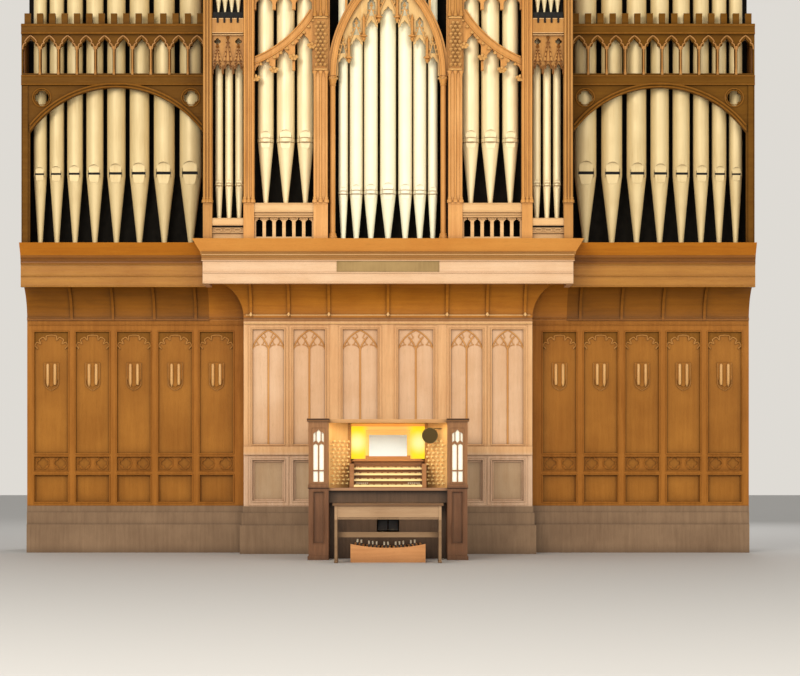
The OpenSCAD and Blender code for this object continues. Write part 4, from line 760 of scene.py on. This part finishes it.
slots = []
for row, pipes in pipe_rows.items():
    bands, lips, ears = [], [], []
    for x, r, z, y in pipes + [(-x, r, z, y) for x, r, z, y in pipes if x > 0]:
        d = 2 * r
        top = z + 0.165 * d
        if row == "wing":
            # Painted shade: a black bar inside the pipe, seen through the mouth.
            slots.append(bar(x - 0.355 * d, x + 0.355 * d, y - 0.33 * d, y - 0.25 * d,
                             z + 0.022 * d, z + 0.158 * d, 0.002))
        else:
            bands.append(sleeve(x, r, y, z - 0.012, top, 0.0025))
            lips += [sleeve(x, r, y, z - 0.019, z - 0.012, 0.0015), sleeve(x, r, y, top, top + 0.007, 0.0015)]
        ear = bar(-0.0025, 0.0025, -0.016, 0.004, z - 0.1 * d, z + 0.3 * d, 0.002)
        ears += [repeat(ear, [(x + side * r * 0.74, y - r * 0.68, 0)]) for side in (-1, 1)]
    piece(f"mouth_ears_{row}", join(ears), row_finish[row])
    if bands:
        piece(f"mouth_bands_{row}", join(bands), row_finish[row])
        piece(f"mouth_lines_{row}", join(lips), "thin_brown")
piece("mouth_slots_wing", join(slots), "void_black")

# %% [markdown]
# Rolls and beads run round every arch and along every rail. The middle arch's path is two arcs that meet at a
# point; a rake is one arc. Each gets two rolls, one near each of its edges, with the flat board between them.

# %% Mouldings of the arches and rakes
def bent(radius, start, end, y, cusps, depth, steps):
    """An arc about the origin whose radius drops by depth exp(-((u - cusp) / 0.045)^2) at each cusp."""
    u = np.linspace(0, 1, steps)
    r = radius - depth * sum(np.exp(-((u - c) / 0.045) ** 2) for c in cusps)
    t = np.radians(start + (end - start) * u)
    return np.stack([r * np.cos(t), np.full(steps, y), r * np.sin(t)], 1)


def shaft(x, z0, z1, r, y):
    """A slim round shaft with a turned base and neck: an outline spun about its axis."""
    profile = [(0.0, z0), (r * 2.0, z0), (r * 2.0, z0 + 0.03), (r * 1.3, z0 + 0.045), (r * 1.5, z0 + 0.06),
               (r, z0 + 0.075), (r, z1 - 0.07), (r * 1.4, z1 - 0.06), (r, z1 - 0.048), (r * 1.9, z1 - 0.012),
               (r * 1.9, z1), (0.0, z1)]
    return turned(profile, (x, y, 0), 12)


ARCH_C, ARCH_R = 1.49 - 0.626, 1.49
RAKE_X, RAKE_Z, RAKE_R = X_PIER + 1.74 * BAY, Z_RAKE + 1.018 * BAY, 2.0225 * BAY


def arch_line(radius, y):
    """Up the left side of the middle arch and down the right: two arcs about points ARCH_C beyond the middle."""
    end = math.degrees(math.acos(ARCH_C / radius))
    left = arc((ARCH_C, Z_SPRING), radius, 180, 180 - end, y, 31)
    return np.vstack([left, (left * [-1, 1, 1])[::-1][1:]])


rolls = [carry(arch_line(ARCH_R + d, Y_POST - 0.008), roll(w)) for d, w in ((0.006, 0.009), (0.058, 0.008))]
for radius in (RAKE_R - 0.038, RAKE_R + 0.036):
    start, end = (360 - math.degrees(math.acos((x - RAKE_X) / radius)) for x in (X_PIER + 0.005, X_BAY - 0.005))
    low = math.degrees(math.asin(max(-1.0, (Z_RAKE - 0.005 - RAKE_Z) / radius)))
    path = arc((RAKE_X, RAKE_Z), radius, max(start, 180 - low), end, Y_SCREEN - 0.004)
    rolls.append(pair(carry(path, roll(0.009))))
piece("arch_rolls", join(rolls), "post_oak")

WING_MID, WING_RISE = (X_WING + X_WING_END) / 2, 0.55
WING_R = ((X_WING_END - X_WING) ** 2 / 4 + WING_RISE**2) / (2 * WING_RISE)
Z_CROWN = Z_DECK + 1.93
Z_ARCADE, Z_ROOF, Z_BATTLE = Z_CROWN + 0.154, Z_CROWN + 0.66, Z_CROWN + 0.777
wing_rolls = []
for radius, r in ((WING_R + 0.010, 0.011), (WING_R + 0.045, 0.013)):
    half = math.degrees(math.asin(min(1.0, (X_WING_END - WING_MID - 0.004) / radius))) - 0.4
    path = arc((WING_MID, Z_CROWN - WING_R), radius, 90 + half, 90 - half, Y_WING_SCREEN - 0.024)
    wing_rolls.append(carry(path, roll(r)))
for x in (2.41, 4.23):
    for radius, r in ((0.112, 0.010), (0.090, 0.005)):
        ring = arc((x, Z_CROWN - 0.122), radius, 0, 345, Y_WING_SCREEN - 0.002, 24)
        wing_rolls.append(carry(ring, roll(r), loop=True))
for z, out, r in ((Z_CROWN + 0.036, 0.022, 0.010), (Z_CROWN + 0.138, 0.022, 0.010),
                  (Z_BATTLE - 0.115, 0.026, 0.011), (Z_BATTLE - 0.02, 0.026, 0.011)):
    wing_rolls.append(carry(line((X_FASCIA, Y_WING_SCREEN - out, z), (X_CASE, Y_WING_SCREEN - out, z)), roll(r)))
piece("wing_rolls", pair(*wing_rolls), "wing_carved_oak")

# %% [markdown]
# Between two of the wing's rails stands an arcade of small pointed lights. Each light has a cusped hood, and a slim
# shaft stands between each two. Behind the pipes' tops a dark board stands on the roof, with battens at its back; its
# dark paint also stands in for the shade behind the pipes.

# %% Arcades and upper boards of the wings
LIGHTS, Z_BOARDS = 10, 6.96
light_w = (X_CASE - X_FASCIA) / LIGHTS
hoods = []
for i in range(LIGHTS):
    x = X_FASCIA + light_w * (i + 0.5)
    for side in (-1, 1):
        path = bent(light_w * 0.86, 0, 60, Y_WING_SCREEN - 0.004, (0.42,), 0.022, 17) * [side, 1, 1]
        hoods.append(carry(path + [x - side * light_w * 0.43, 0, Z_ARCADE + 0.313], roll(0.009, 6)))
for i in range(1, LIGHTS):
    hoods.append(shaft(X_FASCIA + light_w * i, Z_ARCADE, Z_ARCADE + 0.35, 0.009, Y_WING_SCREEN - 0.006))
piece("arcade_rolls", pair(*hoods), "arcade_oak")
y_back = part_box("backing_boards")[1][1]
x0, x1 = X_FASCIA + 0.004, X_CASE - 0.03
upper = [bar(x0, x1, y_back - 0.014, y_back - 0.004, Z_ROOF, Z_BOARDS, 0.002),
         bar(x0, x1, y_back - 0.022, y_back + 0.020, Z_BOARDS - 0.020, Z_BOARDS + 0.015, 0.006)]
for i in range(5):
    x = X_FASCIA + 0.05 + i * 0.53
    upper.append(bar(x - 0.022, x + 0.022, y_back - 0.006, y_back + 0.018, Z_ROOF, Z_BOARDS - 0.015, 0.004))
piece("wing_upper_boards", pair(*upper), "dark_paint_and_shade", smooth=False)

# %% [markdown]
# The posts are clustered: slim shafts stand on their faces, each on a small turned base. The carved pier beside the
# middle arch has three, and a field of small curled leaves between two necks.

# %% Shafts and leaf field of the posts
shafts, pier = [], []
for x0, x1 in ((X_BAY, X_POST), (X_NARROW, X_FASCIA)):
    for x, r in ((x0 + 0.017, 0.016), ((x0 + x1) / 2, 0.014), (x1 - 0.017, 0.016)):
        shafts.append(shaft(x, Z_SILL, Z_TOP, r, Y_POST - 0.010))
for x in (X_SHAFT + 0.018, (X_SHAFT + X_PIER) / 2, X_PIER - 0.018):
    pier.append(shaft(x, Z_SILL, Z_DECK + 2.045, 0.016, Y_POST - 0.008))
    pier.append(shaft(x, Z_DECK + 2.70, Z_TOP, 0.014, Y_POST - 0.008))
for x0, x1, where in ((X_SHAFT, X_PIER, pier), (X_BAY, X_POST, shafts), (X_NARROW, X_FASCIA, shafts)):
    for z, out in ((Z_DECK + 0.012, 0.022), (Z_DECK + 0.445, 0.020)):
        where.append(bar(x0, x1, Y_POST - out, Y_POST - 0.010, z, z + 0.03, 0.006))
piece("post_shafts", pair(*shafts), "post_oak")
piece("pier_shafts", pair(*pier), "pier_oak")

LEAF_WIDE, LEAF_HIGH = 0.052, 0.0455
field = [(X_SHAFT + 0.034 + LEAF_WIDE * (i + 0.5 * (k % 2)), Y_POST - 0.006, Z_DECK + 2.092 + LEAF_HIGH * k)
         for k in range(12) for i in range(3 - k % 2)]
carving = [repeat(leaf(0.064, 0.040, 0.034, 2.0, rows=8, columns=6), field)]
carving += [bar(X_SHAFT + 0.004, X_PIER - 0.004, Y_POST - 0.03, Y_POST - 0.008, z, z + 0.022, 0.008)
            for z in (Z_DECK + 2.050, Z_DECK + 2.675)]
for a in range(-150, 180, 45):
    spray = turn(leaf(0.075, 0.036, 0.016, 1.5, rows=7, columns=6), a, "z")
    out = np.array([math.sin(math.radians(a)), -math.cos(math.radians(a)), 0]) * 0.030
    carving.append(repeat(spray, [out + ((X_OPEN + X_SHAFT) / 2, Y_POST + 0.055, Z_SPRING - 0.075)]))
piece("pier_leaves", pair(*carving), "leaf_oak")

# %% [markdown]
# The canopy steps up to the middle between turned hangers, whose sides are swollen into petals. Over each small arch
# stands a gable of two sloping rolls with curled leaves along it and a bud at the top.

# %% Canopy, gables and hangers
def gable(x, z, w, h, y, r=0.006, leaves=3, size=0.034):
    """Two rolls from (x -+ w/2, z) up to (x, z + h), leaves evenly along them, and a four-lobed bud on top."""
    parts = []
    for side in (-1, 1):
        parts.append(carry(line((x + side * w / 2, y, z), (x, y, z + h), 4), roll(r, 6)))
        lean = side * math.degrees(math.atan2(w / 2, h))
        crocket = turn(leaf(size, size * 0.7, size * 0.35, 1.7, rows=5, columns=6), side * 62 - lean * 0.2)
        u = (np.arange(leaves) + 0.6) / (leaves + 0.4)
        spots = np.stack([x + side * w / 2 * (1 - u), np.full(leaves, y - 0.003), z + h * u], 1)
        parts.append(repeat(crocket, spots))
    bud = [(0, 0), (r, 0.0), (r * 1.2, 0.012), (r * 2.8, 0.024), (r * 2.4, 0.036), (r * 0.9, 0.044),
           (r * 1.8, 0.054), (0, 0.07)]
    return join(parts + [turned(bud, (x, y, z + h - 0.006), 8, 4, 0.2)])


Y_CANOPY = Y_SCREEN - 0.002
edges = [0.11, 0.29, 0.47, X_OPEN]
drop = [(0, -0.055), (0.008, -0.050), (0.010, -0.040), (0.020, -0.028), (0.024, -0.016), (0.016, -0.004),
        (0.038, 0.006), (0.040, 0.020), (0.020, 0.030), (0.015, 0.05), (0.014, 0.20), (0.022, 0.215),
        (0.012, 0.235), (0, 0.29)]
canopy = [gable(0.0, Z_SPRING + 0.77, 0.20, 0.24, Y_CANOPY, 0.008, 4, 0.045)]
hangers = []
for x0, x1, end, spring in zip(edges, edges[1:], (0.64, 0.41, 0.15), (0.56, 0.35, 0.15)):
    hangers.append(pair(turned(drop, (x0, Y_CANOPY - 0.010, Z_SPRING + end + 0.05), 12, 6, 0.10)))
    canopy.append(pair(gable((x0 + x1) / 2, Z_SPRING + spring + 0.06, x1 - x0 - 0.03, 0.20, Y_CANOPY,
                             0.007, 3, 0.038)))
piece("canopy_carving", join(canopy), "leaf_oak")
piece("canopy_hangers", join(hangers), "post_oak")

# %% [markdown]
# Four bunches of leaves hang under each rake, every one lower than the one before, and more leaves curl along its
# edge. Three gablets, the middle one taller, stand over each narrow bay.

# %% Leaves under the rakes and narrow gablets
hanging = []
for x, fall in ((X_PIER + 0.02, 0.41), (X_PIER + 0.336 * BAY, 0.55), (X_PIER + 0.667 * BAY, 0.70),
                (X_BAY - 0.02, 0.80)):
    for spread, size in ((-55, 0.085), (-20, 0.095), (20, 0.095), (55, 0.085)):
        bunch = turn(leaf(size, size * 0.55, 0.026, 1.3, rows=7, columns=6), 180 + spread)
        hanging.append(repeat(bunch, [(x, Y_SCREEN, Z_RAKE - fall)]))
    knop = [(0, -0.03), (0.014, -0.022), (0.02, -0.006), (0.012, 0.01), (0, 0.02)]
    hanging.append(turned(knop, (x, Y_SCREEN - 0.012, Z_RAKE - fall), 10, 5, 0.15))
curls = turn(leaf(0.06, 0.04, 0.02, 1.5, rows=6, columns=6), 180)
hanging.append(repeat(curls, arc((RAKE_X, RAKE_Z), RAKE_R + 0.05, 214, 246, Y_SCREEN - 0.004, 10)))
piece("rake_leaves", pair(*hanging), "leaf_oak")

gables = [gable(X_MID + i * NARROW / 3, Z_HEAD + 0.04, 0.066, tall, Y_SCREEN - 0.012, 0.006, 6, 0.026)
          for i, tall in ((-1, 0.25), (0, 0.36), (1, 0.25))]
spike = [(0, -0.04), (0.008, -0.03), (0.012, -0.012), (0.007, 0.0), (0.011, 0.02), (0.007, 0.04), (0, 0.09)]
gables += [turned(spike, (X_MID + i * (NARROW / 3 - 0.004), Y_SCREEN - 0.010, Z_HEAD + 0.01), 8)
           for i in (-1.5, -0.5, 0.5, 1.5)]
piece("narrow_gablets", pair(*gables), "gablet_oak")

# %% [markdown]
# Over the narrow heads a row of four smaller pipes stands behind a black band with four teeth, before a black board.
# Each small pipe is one outline spun about its axis: a pointed foot, a band and a long body.

# %% Small upper pipes of the narrow bays
Z_BLACK_BAND = Z_HEAD + 0.655
black_band = [bar(X_POST + 0.004, X_NARROW - 0.004, 0.040, 0.046, Z_BLACK_BAND - 0.02, Z_TOP - 0.02, 0.002),
        bar(X_POST + 0.006, X_NARROW - 0.006, Y_SCREEN - 0.006, Y_SCREEN + 0.02, Z_BLACK_BAND, Z_BLACK_BAND + 0.072, 0.002)]
high = Z_TOP - Z_BLACK_BAND - 0.06
outline = [(0, 0), (0.006, 0.0), (0.011, 0.075), (0.030, 0.20), (0.033, 0.203), (0.033, 0.222), (0.031, 0.225),
           (0.031, high), (0, high)]
small = []
for x in (X_MID + 0.080 * i for i in (-1.5, -0.5, 0.5, 1.5)):
    black_band.append(bar(x - 0.011, x + 0.011, Y_POST - 0.012, Y_POST + 0.001, Z_BLACK_BAND - 0.060, Z_BLACK_BAND + 0.004, 0.002))
    small.append(turned(outline, (x, -0.02, Z_BLACK_BAND + 0.02), 20))
piece("narrow_black_band", pair(*black_band), "void_black")
piece("narrow_small_pipes", pair(*small), "bay_metal")

# %% [markdown]
# Sills, rails and cornices carry long beads. A bar with its long edges cut off makes each of them. The bays' sills
# also have a row of diamonds, and the narrow sills have three oval rings.

# %% Beads of the sills, rails and cornices
def diamond(x, y, z, r):
    """A small blunt pyramid on a board at y: four corners at +-r, and a top 0.3 as wide, r / 2 in front."""
    base = np.array([(x + r, y + 0.002, z), (x, y + 0.002, z + r), (x - r, y + 0.002, z), (x, y + 0.002, z - r)])
    top = (base + [0, -0.002 - r / 2, 0]) * [0.3, 1, 0.3] + np.array([x, 0, z]) * 0.7
    return grid(np.stack([base, top]))


rails = []
for x0, x1, thick, edge, levels in (
    (X_PIER, X_BAY, 0.012, 0.004, ((0.462, Y_POST - 0.008, Y_POST + 0.02), (0.362, Y_POST - 0.010, Y_POST + 0.02),
                                   (0.330, Y_SCREEN - 0.024, Y_SCREEN), (0.302, Y_SCREEN - 0.030, Y_SCREEN))),
    (X_POST, X_NARROW, 0.008, 0.003, [(z, Y_POST - 0.006, Y_POST + 0.02) for z in (0.281, 0.203, 0.165, 0.110)]),
    (X_POST, X_NARROW, 0.010, 0.004, [(z, Y_POST - 0.004, Y_POST + 0.03) for z in (2.485, 2.510, 2.680)]),
):
    rails += [bar(x0, x1, y0, y1, Z_DECK + z - thick, Z_DECK + z, edge) for z, y0, y1 in levels]
rails += [diamond(X_PIER + BAY * (i + 0.5) / 24, Y_SCREEN - 0.011, Z_DECK + 0.270, 0.012) for i in range(24)]
oval = carry(arc((0, 0), 0.040, 0, 345, 0, 20) * [1.0, 1, 0.5], roll(0.0045, 6), loop=True)
rails.append(repeat(oval, [(X_MID + i * 0.115, Y_POST - 0.002, Z_DECK + 0.137) for i in (-1, 0, 1)]))
piece("sill_beads", pair(*rails), "sill_oak")
dark_slot = bar(X_POST + 0.002, X_NARROW - 0.002, Y_SCREEN + 0.030, Y_SCREEN + 0.049,
                Z_DECK + 0.166, Z_DECK + 0.190, 0.001)
piece("narrow_slots", pair(dark_slot), "void_black")


FASCIA_BEADS, Z_LEDGE = (3.257, 3.382), 3.527


def cornice(x0, x1, y, ledge, thin):
    """The beads of a cornice: two on its fascia, a ledge, and thin ones (low edge, out) in the hollow above.

    ledge and thin begin with how far their beads start before x0 and end past x1.
    """
    beads = [bar(x0, x1, y - 0.012, y, z, z + 0.014, 0.005) for z in FASCIA_BEADS]
    beads.append(bar(x0 - ledge[0], x1 + ledge[1], y - 0.020, y, Z_LEDGE, Z_LEDGE + 0.014, 0.006))
    return beads + [bar(x0 - thin[0], x1 + thin[1], y - out, y - 0.006, z, z + 0.009, 0.003) for z, out in thin[2:]]


beads = cornice(-X_FASCIA, X_FASCIA, Y_FASCIA, (0.016, 0.016), (0.010, 0.010, (3.566, 0.021), (3.626, 0.040)))
piece("cornice_beads", join(beads), "cornice_oak")
hollow = bar(-X_FASCIA - 0.010, X_FASCIA + 0.010, Y_FASCIA - 0.029, Y_FASCIA - 0.010, 3.597, 3.606, 0.003)
piece("hollow_bead", hollow, "sill_oak")
beads = cornice(X_FASCIA, X_CASE, Y_CENTRE, (-0.02, 0), (-0.03, 0, (3.566, 0.021), (3.600, 0.029)))
piece("wing_cornice_beads", pair(*beads), "wing_cornice_oak")

# %% [markdown]
# The panels of the base are framed by small mouldings, and their heads are traced with crossing arcs. A frame is a
# roll carried round a loop. Points are added at the corners, so that the mitres stay crisp.

# %% Lines of the panels
def frame_loop(x0, x1, z0, z1, y, r=0.008):
    """A roll round a rectangle: each side has its two end points close to the corner."""
    e = 0.002
    path = [(x0 + e, z0), (x1 - e, z0), (x1, z0 + e), (x1, z1 - e), (x1 - e, z1), (x0 + e, z1), (x0, z1 - e),
            (x0, z0 + e)]
    return carry([(x, y, z) for x, z in path], roll(r, 6), loop=True)


def between(start, end, sag, y, steps):
    """An arc from start to end, to the left of its way: the chord's point plus sag (1 - (2u - 1)^2) across it."""
    u = np.linspace(0, 1, steps)[:, None]
    chord = np.subtract(end, start)
    off = np.array([-chord[1], chord[0]]) / np.hypot(*chord)
    path = np.array(start) + chord * u + sag * (1 - (2 * u - 1) ** 2) * off
    return np.stack([path[:, 0], np.full(steps, y), path[:, 1]], 1)


def crossing_head(x, w, foot, rise, y, r=0.010, thin=0.0055):
    """A pointed arch crossed by two arcs from the mullion, with pointed cusps on the flanks of the small arches."""
    parts = []
    knop = [(0, 0.004), (0.007, 0.002), (0.009, -0.002), (0.005, -0.008), (0, -0.010)]
    for side in (-1, 1):
        main = between((x + side * w / 2, foot), (x, foot + rise), -side * 0.034, y, 31)
        cross = main - [side * w / 2, 0, 0]
        parts += [carry(main, roll(r)), carry(cross[cross[:, 2] < foot + rise * 0.66], roll(r))]
        for mid in (x - w / 4, x + w / 4):
            low = (mid + side * w * 0.235, foot + 0.004)
            tip = (mid + side * w * 0.045, foot + 0.052)
            high = (mid + side * w * 0.11, foot + 0.118)
            parts += [carry(between(low, tip, side * -0.012, y, 7), roll(thin, 6)),
                      carry(between(tip, high, side * -0.010, y, 7), roll(thin, 6)),
                      turned(knop, (tip[0], y, tip[1]), 8, axis="y")]
        tip = (x + side * 0.030, foot + rise * 0.62)
        for end in ((x + side * 0.064, foot + rise * 0.50), (x + side * 0.052, foot + rise * 0.80)):
            parts.append(carry(between(tip, end, 0.004, y, 5), roll(thin, 6)))
    return join(parts)


def spandrel(path, half, top, y0, y1):
    """A plate between an arch about the origin and a rectangle, from y0 to y1.

    Each of the arch's points (r cos t, r sin t) is joined to the point where its ray leaves the rectangle, at
    k = min(half / cos t, top / sin t), or 1 mm past the arch where that is further out.
    """
    r = np.hypot(path[:, 0], path[:, 2])
    c, s = path[:, 0] / r, path[:, 2] / r
    k = np.maximum(np.minimum(half / np.maximum(c, 1e-6), top / np.maximum(s, 1e-6)), r + 0.001)
    near, far = path[:, [0, 2]], np.stack([k * c, k * s], 1)
    corners = [(near, y0), (far, y0), (far, y1), (near, y1)]
    return grid(np.stack([np.stack([p[:, 0], np.full(len(p), y), p[:, 1]], 1) for p, y in corners], 1))


def field_board(x0, x1, z0, z1, y):
    """A thin board that fills a panel's frame, 23.5 mm behind the frame's face at y."""
    return bar(x0 + 0.001, x1 - 0.001, y + 0.0235, y + 0.0275, z0 + 0.001, z1 - 0.001, 0.001)


Z_FOOT, Z_DADO, Z_UPPER, Z_TRACE, Z_FRAME = 0.64, 1.21, 1.33, 2.50, 2.805
Z_PANEL_TOP = Z_FRAME - 0.06
print("panels from z", Z_UPPER, "to", Z_PANEL_TOP)

# %% Panels of the centre
frames, heads, fields = [], [], []
for x0, w in ((0.12, 0.44), (0.76, 0.40), (1.26, 0.40)):
    x1, mid = x0 + w, x0 + w / 2
    for grow, r in ((0, 0.008), (0.016, 0.004), (0.044, 0.005)):
        for low, high in ((Z_UPPER, Z_PANEL_TOP), (Z_FOOT, Z_DADO - 0.06)):
            frames.append(frame_loop(x0 - grow, x1 + grow, low - grow, high + grow, Y_CENTRE - 0.001, r))
    fields.append(field_board(x0, x1, Z_UPPER, Z_PANEL_TOP, Y_CENTRE))
    mullion = line((mid, Y_CENTRE + 0.023, Z_UPPER), (mid, Y_CENTRE + 0.023, Z_TRACE + 0.01))
    heads += [crossing_head(mid, w - 0.010, Z_TRACE, 0.232, Y_CENTRE + 0.0215), carry(mullion, roll(0.012))]
piece("centre_panel_frames", pair(*frames), "screen_oak")
piece("centre_panel_fields", pair(*fields), "panel_oak", smooth=False)
piece("centre_panel_heads", pair(*heads), "trace_oak")

# %% [markdown]
# Each wing panel has a cusped head with raised spandrels over it, a low panel with two rings, and a shield with two
# flutes, painted pale as highlights. The head is a bent arc on each side, and its spandrel fills the corner between
# that arc and the frame.

# %% Panels of the wings
X_FIRST, PITCH, PANEL_W, Z_HEAD_ARC = 1.873, 0.513, 0.429, 2.466
frames, heads, fields, flutes, outline, tips, spandrels = [], [], [], [], [], [], []
for i in range(5):
    x = X_FIRST + PITCH * (i + 0.5)
    x0, x1 = x - PANEL_W / 2, x + PANEL_W / 2
    for low, high, r in ((Z_DADO + 0.016, Z_PANEL_TOP, 0.008), (Z_DADO - 0.2, Z_DADO - 0.016, 0.006),
                         (0.62, 0.97, 0.008)):
        frames.append(frame_loop(x0, x1, low, high, Y_WING - 0.002, r))
    fields.append(field_board(x0, x1, Z_DADO + 0.016, Z_PANEL_TOP, Y_WING))
    for side in (-1, 1):
        path = bent(0.233, 20, 90, Y_WING + 0.0175, (0.02, 0.34, 0.70), 0.050, 61)
        tips.append(carry(path * [side, 1, 1] + [x, 0, Z_HEAD_ARC], roll(0.009)))
        plate = spandrel(path, PANEL_W / 2 - 0.002, 0.277, Y_WING + 0.0165, Y_WING + 0.0278)
        spandrels.append(repeat(flip(plate) if side < 0 else plate, [(x, 0, Z_HEAD_ARC)]))
        ring = arc((x + side * PANEL_W / 4, Z_DADO - 0.1), 0.078, 0, 345, Y_WING + 0.026, 24)
        heads.append(carry(ring, roll(0.006, 6), loop=True))
        flute = [(0, 2.070 - 0.014 * side), (0.013, 2.082), (0.0195, 2.105), (0.0195, 2.328), (0.013, 2.342),
                 (0, 2.346)]
        flutes.append(turned(flute, (x + side * 0.044, Y_WING + 0.010, 0), 16))
        edge = [(x + side * out, Y_WING + 0.012, z) for out, z in
                ((0.088, 2.352), (0.088, 2.24), (0.088, 2.13), (0.088, 2.09), (0.066, 2.052), (0.004, 2.012))]
        outline.append(carry(edge, roll(0.004, 6)))
piece("wing_panel_frames", pair(*frames), "wing_screen_oak")
piece("wing_panel_fields", pair(*fields), "wing_panel_oak", smooth=False)
piece("wing_panel_heads", pair(*heads), "wing_screen_oak")
piece("wing_panel_cusps", pair(*tips), "cusp_oak")
piece("wing_spandrels", pair(*spandrels), "wing_carved_oak")
piece("shield_flutes", pair(*flutes), "flute_highlight_oak")
piece("shield_edges", pair(*outline), "cusp_oak")

# %% [markdown]
# A pale leaf closes the foot of each of the cove's ribs, its paleness a painted glint, and two thin pale beads run
# along under the cove. Two beads line the boards under the wings' coves.

# %% Leaves and beads of the coves
ribs = [x * side for x in (0.72, 1.21, 1.67) for side in (-1, 1)] + [0.0]
foot_leaf = turn(leaf(0.060, 0.036, 0.024, 1.2, rows=6, columns=6), 180)
parts = [repeat(foot_leaf, [(x, Y_CENTRE - 0.040, 2.945) for x in ribs])]
parts += [bar(-X_BAY - wide, X_BAY + wide, Y_CENTRE - out, Y_CENTRE, z, z + 0.010, 0.003)
          for wide, out, z in ((0.13, 0.022, 2.907), (0.15, 0.020, Z_FRAME + 0.002))]
piece("cove_beads", join(parts), "bead_and_glint_oak")
low = [bar(1.80, X_CASE - 0.02, Y_WING - out, Y_WING, z, z + 0.012, 0.004)
       for out, z in ((0.018, 2.896), (0.008, 2.820))]
piece("wing_cove_beads", pair(*low), "wing_screen_oak")

# %% [markdown]
# The console stands before the case. Pale glass, glowing with painted light, fills the lights of its piers, dark caps
# lie on them, and the lower panels have thin frames. Its recess is lit: the boards at the back glow with painted
# light, and lamp strips hide under the crown and over the swell shoes.

# %% Glass, caps, frames and lights of the console
PIER, CHEEK = 0.7895, 0.676
glass = [bar(PIER - 0.061, PIER + 0.061, Y_CONSOLE + 0.018, Y_CONSOLE + 0.0235, z0, z1, 0.001)
         for z0, z1 in ((0.885, 1.012), (1.022, 1.326), (1.330, 1.486))]
piece("pier_glass", pair(*glass), "obscured_glass", smooth=False)
caps = [bar(CHEEK - 0.008, 0.924, Y_CONSOLE - 0.024, Y_CONSOLE + 0.02, 1.592, 1.606, 0.005),
        bar(CHEEK - 0.004, 0.914, Y_CONSOLE - 0.012, Y_CONSOLE + 0.02, 0.812, 0.824, 0.004)]
piece("pier_caps", pair(*caps), "dark_oak")
trims = [frame_loop(PIER - 0.062, PIER + 0.062, 0.19, 0.78, Y_CONSOLE - 0.001, 0.005),
         frame_loop(PIER - 0.076, PIER + 0.076, 0.868, 1.502, Y_CONSOLE + 0.001, 0.005)]
trims += [bar(CHEEK, 0.903, Y_CONSOLE - 0.010, Y_CONSOLE, z, z + 0.016, 0.005) for z in (0.035, 0.838)]
piece("pier_trims", pair(*trims), "console_oak")
lit = bar(-0.4355, 0.4355, -0.356, -0.3505, 1.157, 1.5745, 0.001)
piece("lit_boards", lit, "lit_board", smooth=False)
lip = bar(-CHEEK, CHEEK, Y_CONSOLE + 0.062, Y_CONSOLE + 0.072, 1.562, 1.5765, 0.002)
piece("lamp_lip", lip, "crown_oak")
strips = [bar(-0.64, 0.64, Y_CONSOLE + 0.10, Y_CONSOLE + 0.13, 1.566, 1.5765, 0.002),
          bar(-0.30, 0.30, -1.052, -1.0305, 0.588, 0.604, 0.003)]
piece("lamp_strips", join(strips), "lamp_glow", smooth=False)

# %% [markdown]
# Each keyboard has black sharps with sloping sides, in the pattern that leaves out the places after the third and
# the seventh natural of each octave. White buttons stand on the rail under the second keyboard, the raised pedals
# have pale caps, and the bench gets feet and a thin edge.

# %% Sharps, buttons and pedal caps
def cap(x, w, y0, y1, z0, z1, slope=0.0015):
    """A sharp's top: a box from y0 to y1 whose upper face is drawn in by slope at the sides and 3 slope in front."""
    corners = [[(x - w / 2 + s, y0 + 3 * s, z), (x + w / 2 - s, y0 + 3 * s, z), (x + w / 2 - s, y1, z),
                (x - w / 2 + s, y1, z)] for s, z in ((0, z0), (slope, z1))]
    return grid(np.array(corners))


MANUALS, RISE, SETBACK, NATURALS = 4, 0.066, 0.105, 34
sharps = []
for k in range(MANUALS):
    y, z = Y_CONSOLE + SETBACK * k, RISE * k
    sharps += [cap(i * 0.778 / NATURALS + 0.001 - 0.39, 0.0104, y + 0.1105, y + 0.199, z + 0.850, z + 0.8662)
               for i in range(1, NATURALS) if i % 7 not in (0, 3)]
piece("manual_sharps", join(sharps), "ebony", smooth=False)
button = turned([(0, -0.007), (0.0045, -0.007), (0.006, -0.005), (0.006, 0.006), (0, 0.006)], steps=12, axis="y")
row = [(side * (0.235 + 0.024 * i), Y_CONSOLE + SETBACK + 0.058, 0.8745) for side in (-1, 1) for i in range(6)]
piece("manual_buttons", repeat(button, row), "ivory")
noses = []
for x in ((i - 8) * 0.78 / 18 for i in range(17) if i % 7 not in (2, 6)):
    z = 0.150 + 0.044 * (2 * x / 0.83) ** 2
    noses.append(bar(x - 0.0098, x + 0.0098, -1.4625, -1.318, z + 0.020, z + 0.0575, 0.003))
piece("pedal_caps", join(noses), "ivory")
feet = pair(bar(0.553, 0.593, -2.24, -1.91, 0.0, 0.022, 0.004))
edge = bar(-0.556, 0.556, -2.2335, -2.229, 0.482, 0.492, 0.002)
piece("bench_trim", join([feet, edge]), "bench_oak")

# %% [markdown]
# The blank plate has a thin raised edge and a small screw in each corner, and the mirror has a brass rim. The rim
# rides on the mirror's body, so it tilts with the glass.

# %% Edges of the plate and the mirror
(x0, y0, z0), (x1, _, z1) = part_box("brass_plate")
edge = [frame_loop(x0 + 0.006, x1 - 0.006, z0 + 0.006, z1 - 0.006, y0 + 0.001, 0.0022)]
screw = [(0, 0.0), (0.0035, 0.0), (0.003, 0.0014), (0, 0.002)]
edge += [turned(screw, (x, y0, z), 10, axis="y")
         for x in (x0 + 0.013, x1 - 0.013) for z in (z0 + 0.013, z1 - 0.013)]
piece("plate_edge", join(edge), "brass")
(x0, y0, z0), (x1, _, z1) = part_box("mirror_glass")
ring = arc(((x0 + x1) / 2, (z0 + z1) / 2), (x1 - x0) / 2 - 0.004, 0, 350, y0 + 0.002, 36)
piece("mirror_rim", carry(ring, roll(0.0035), loop=True), "brass", body="mirror")
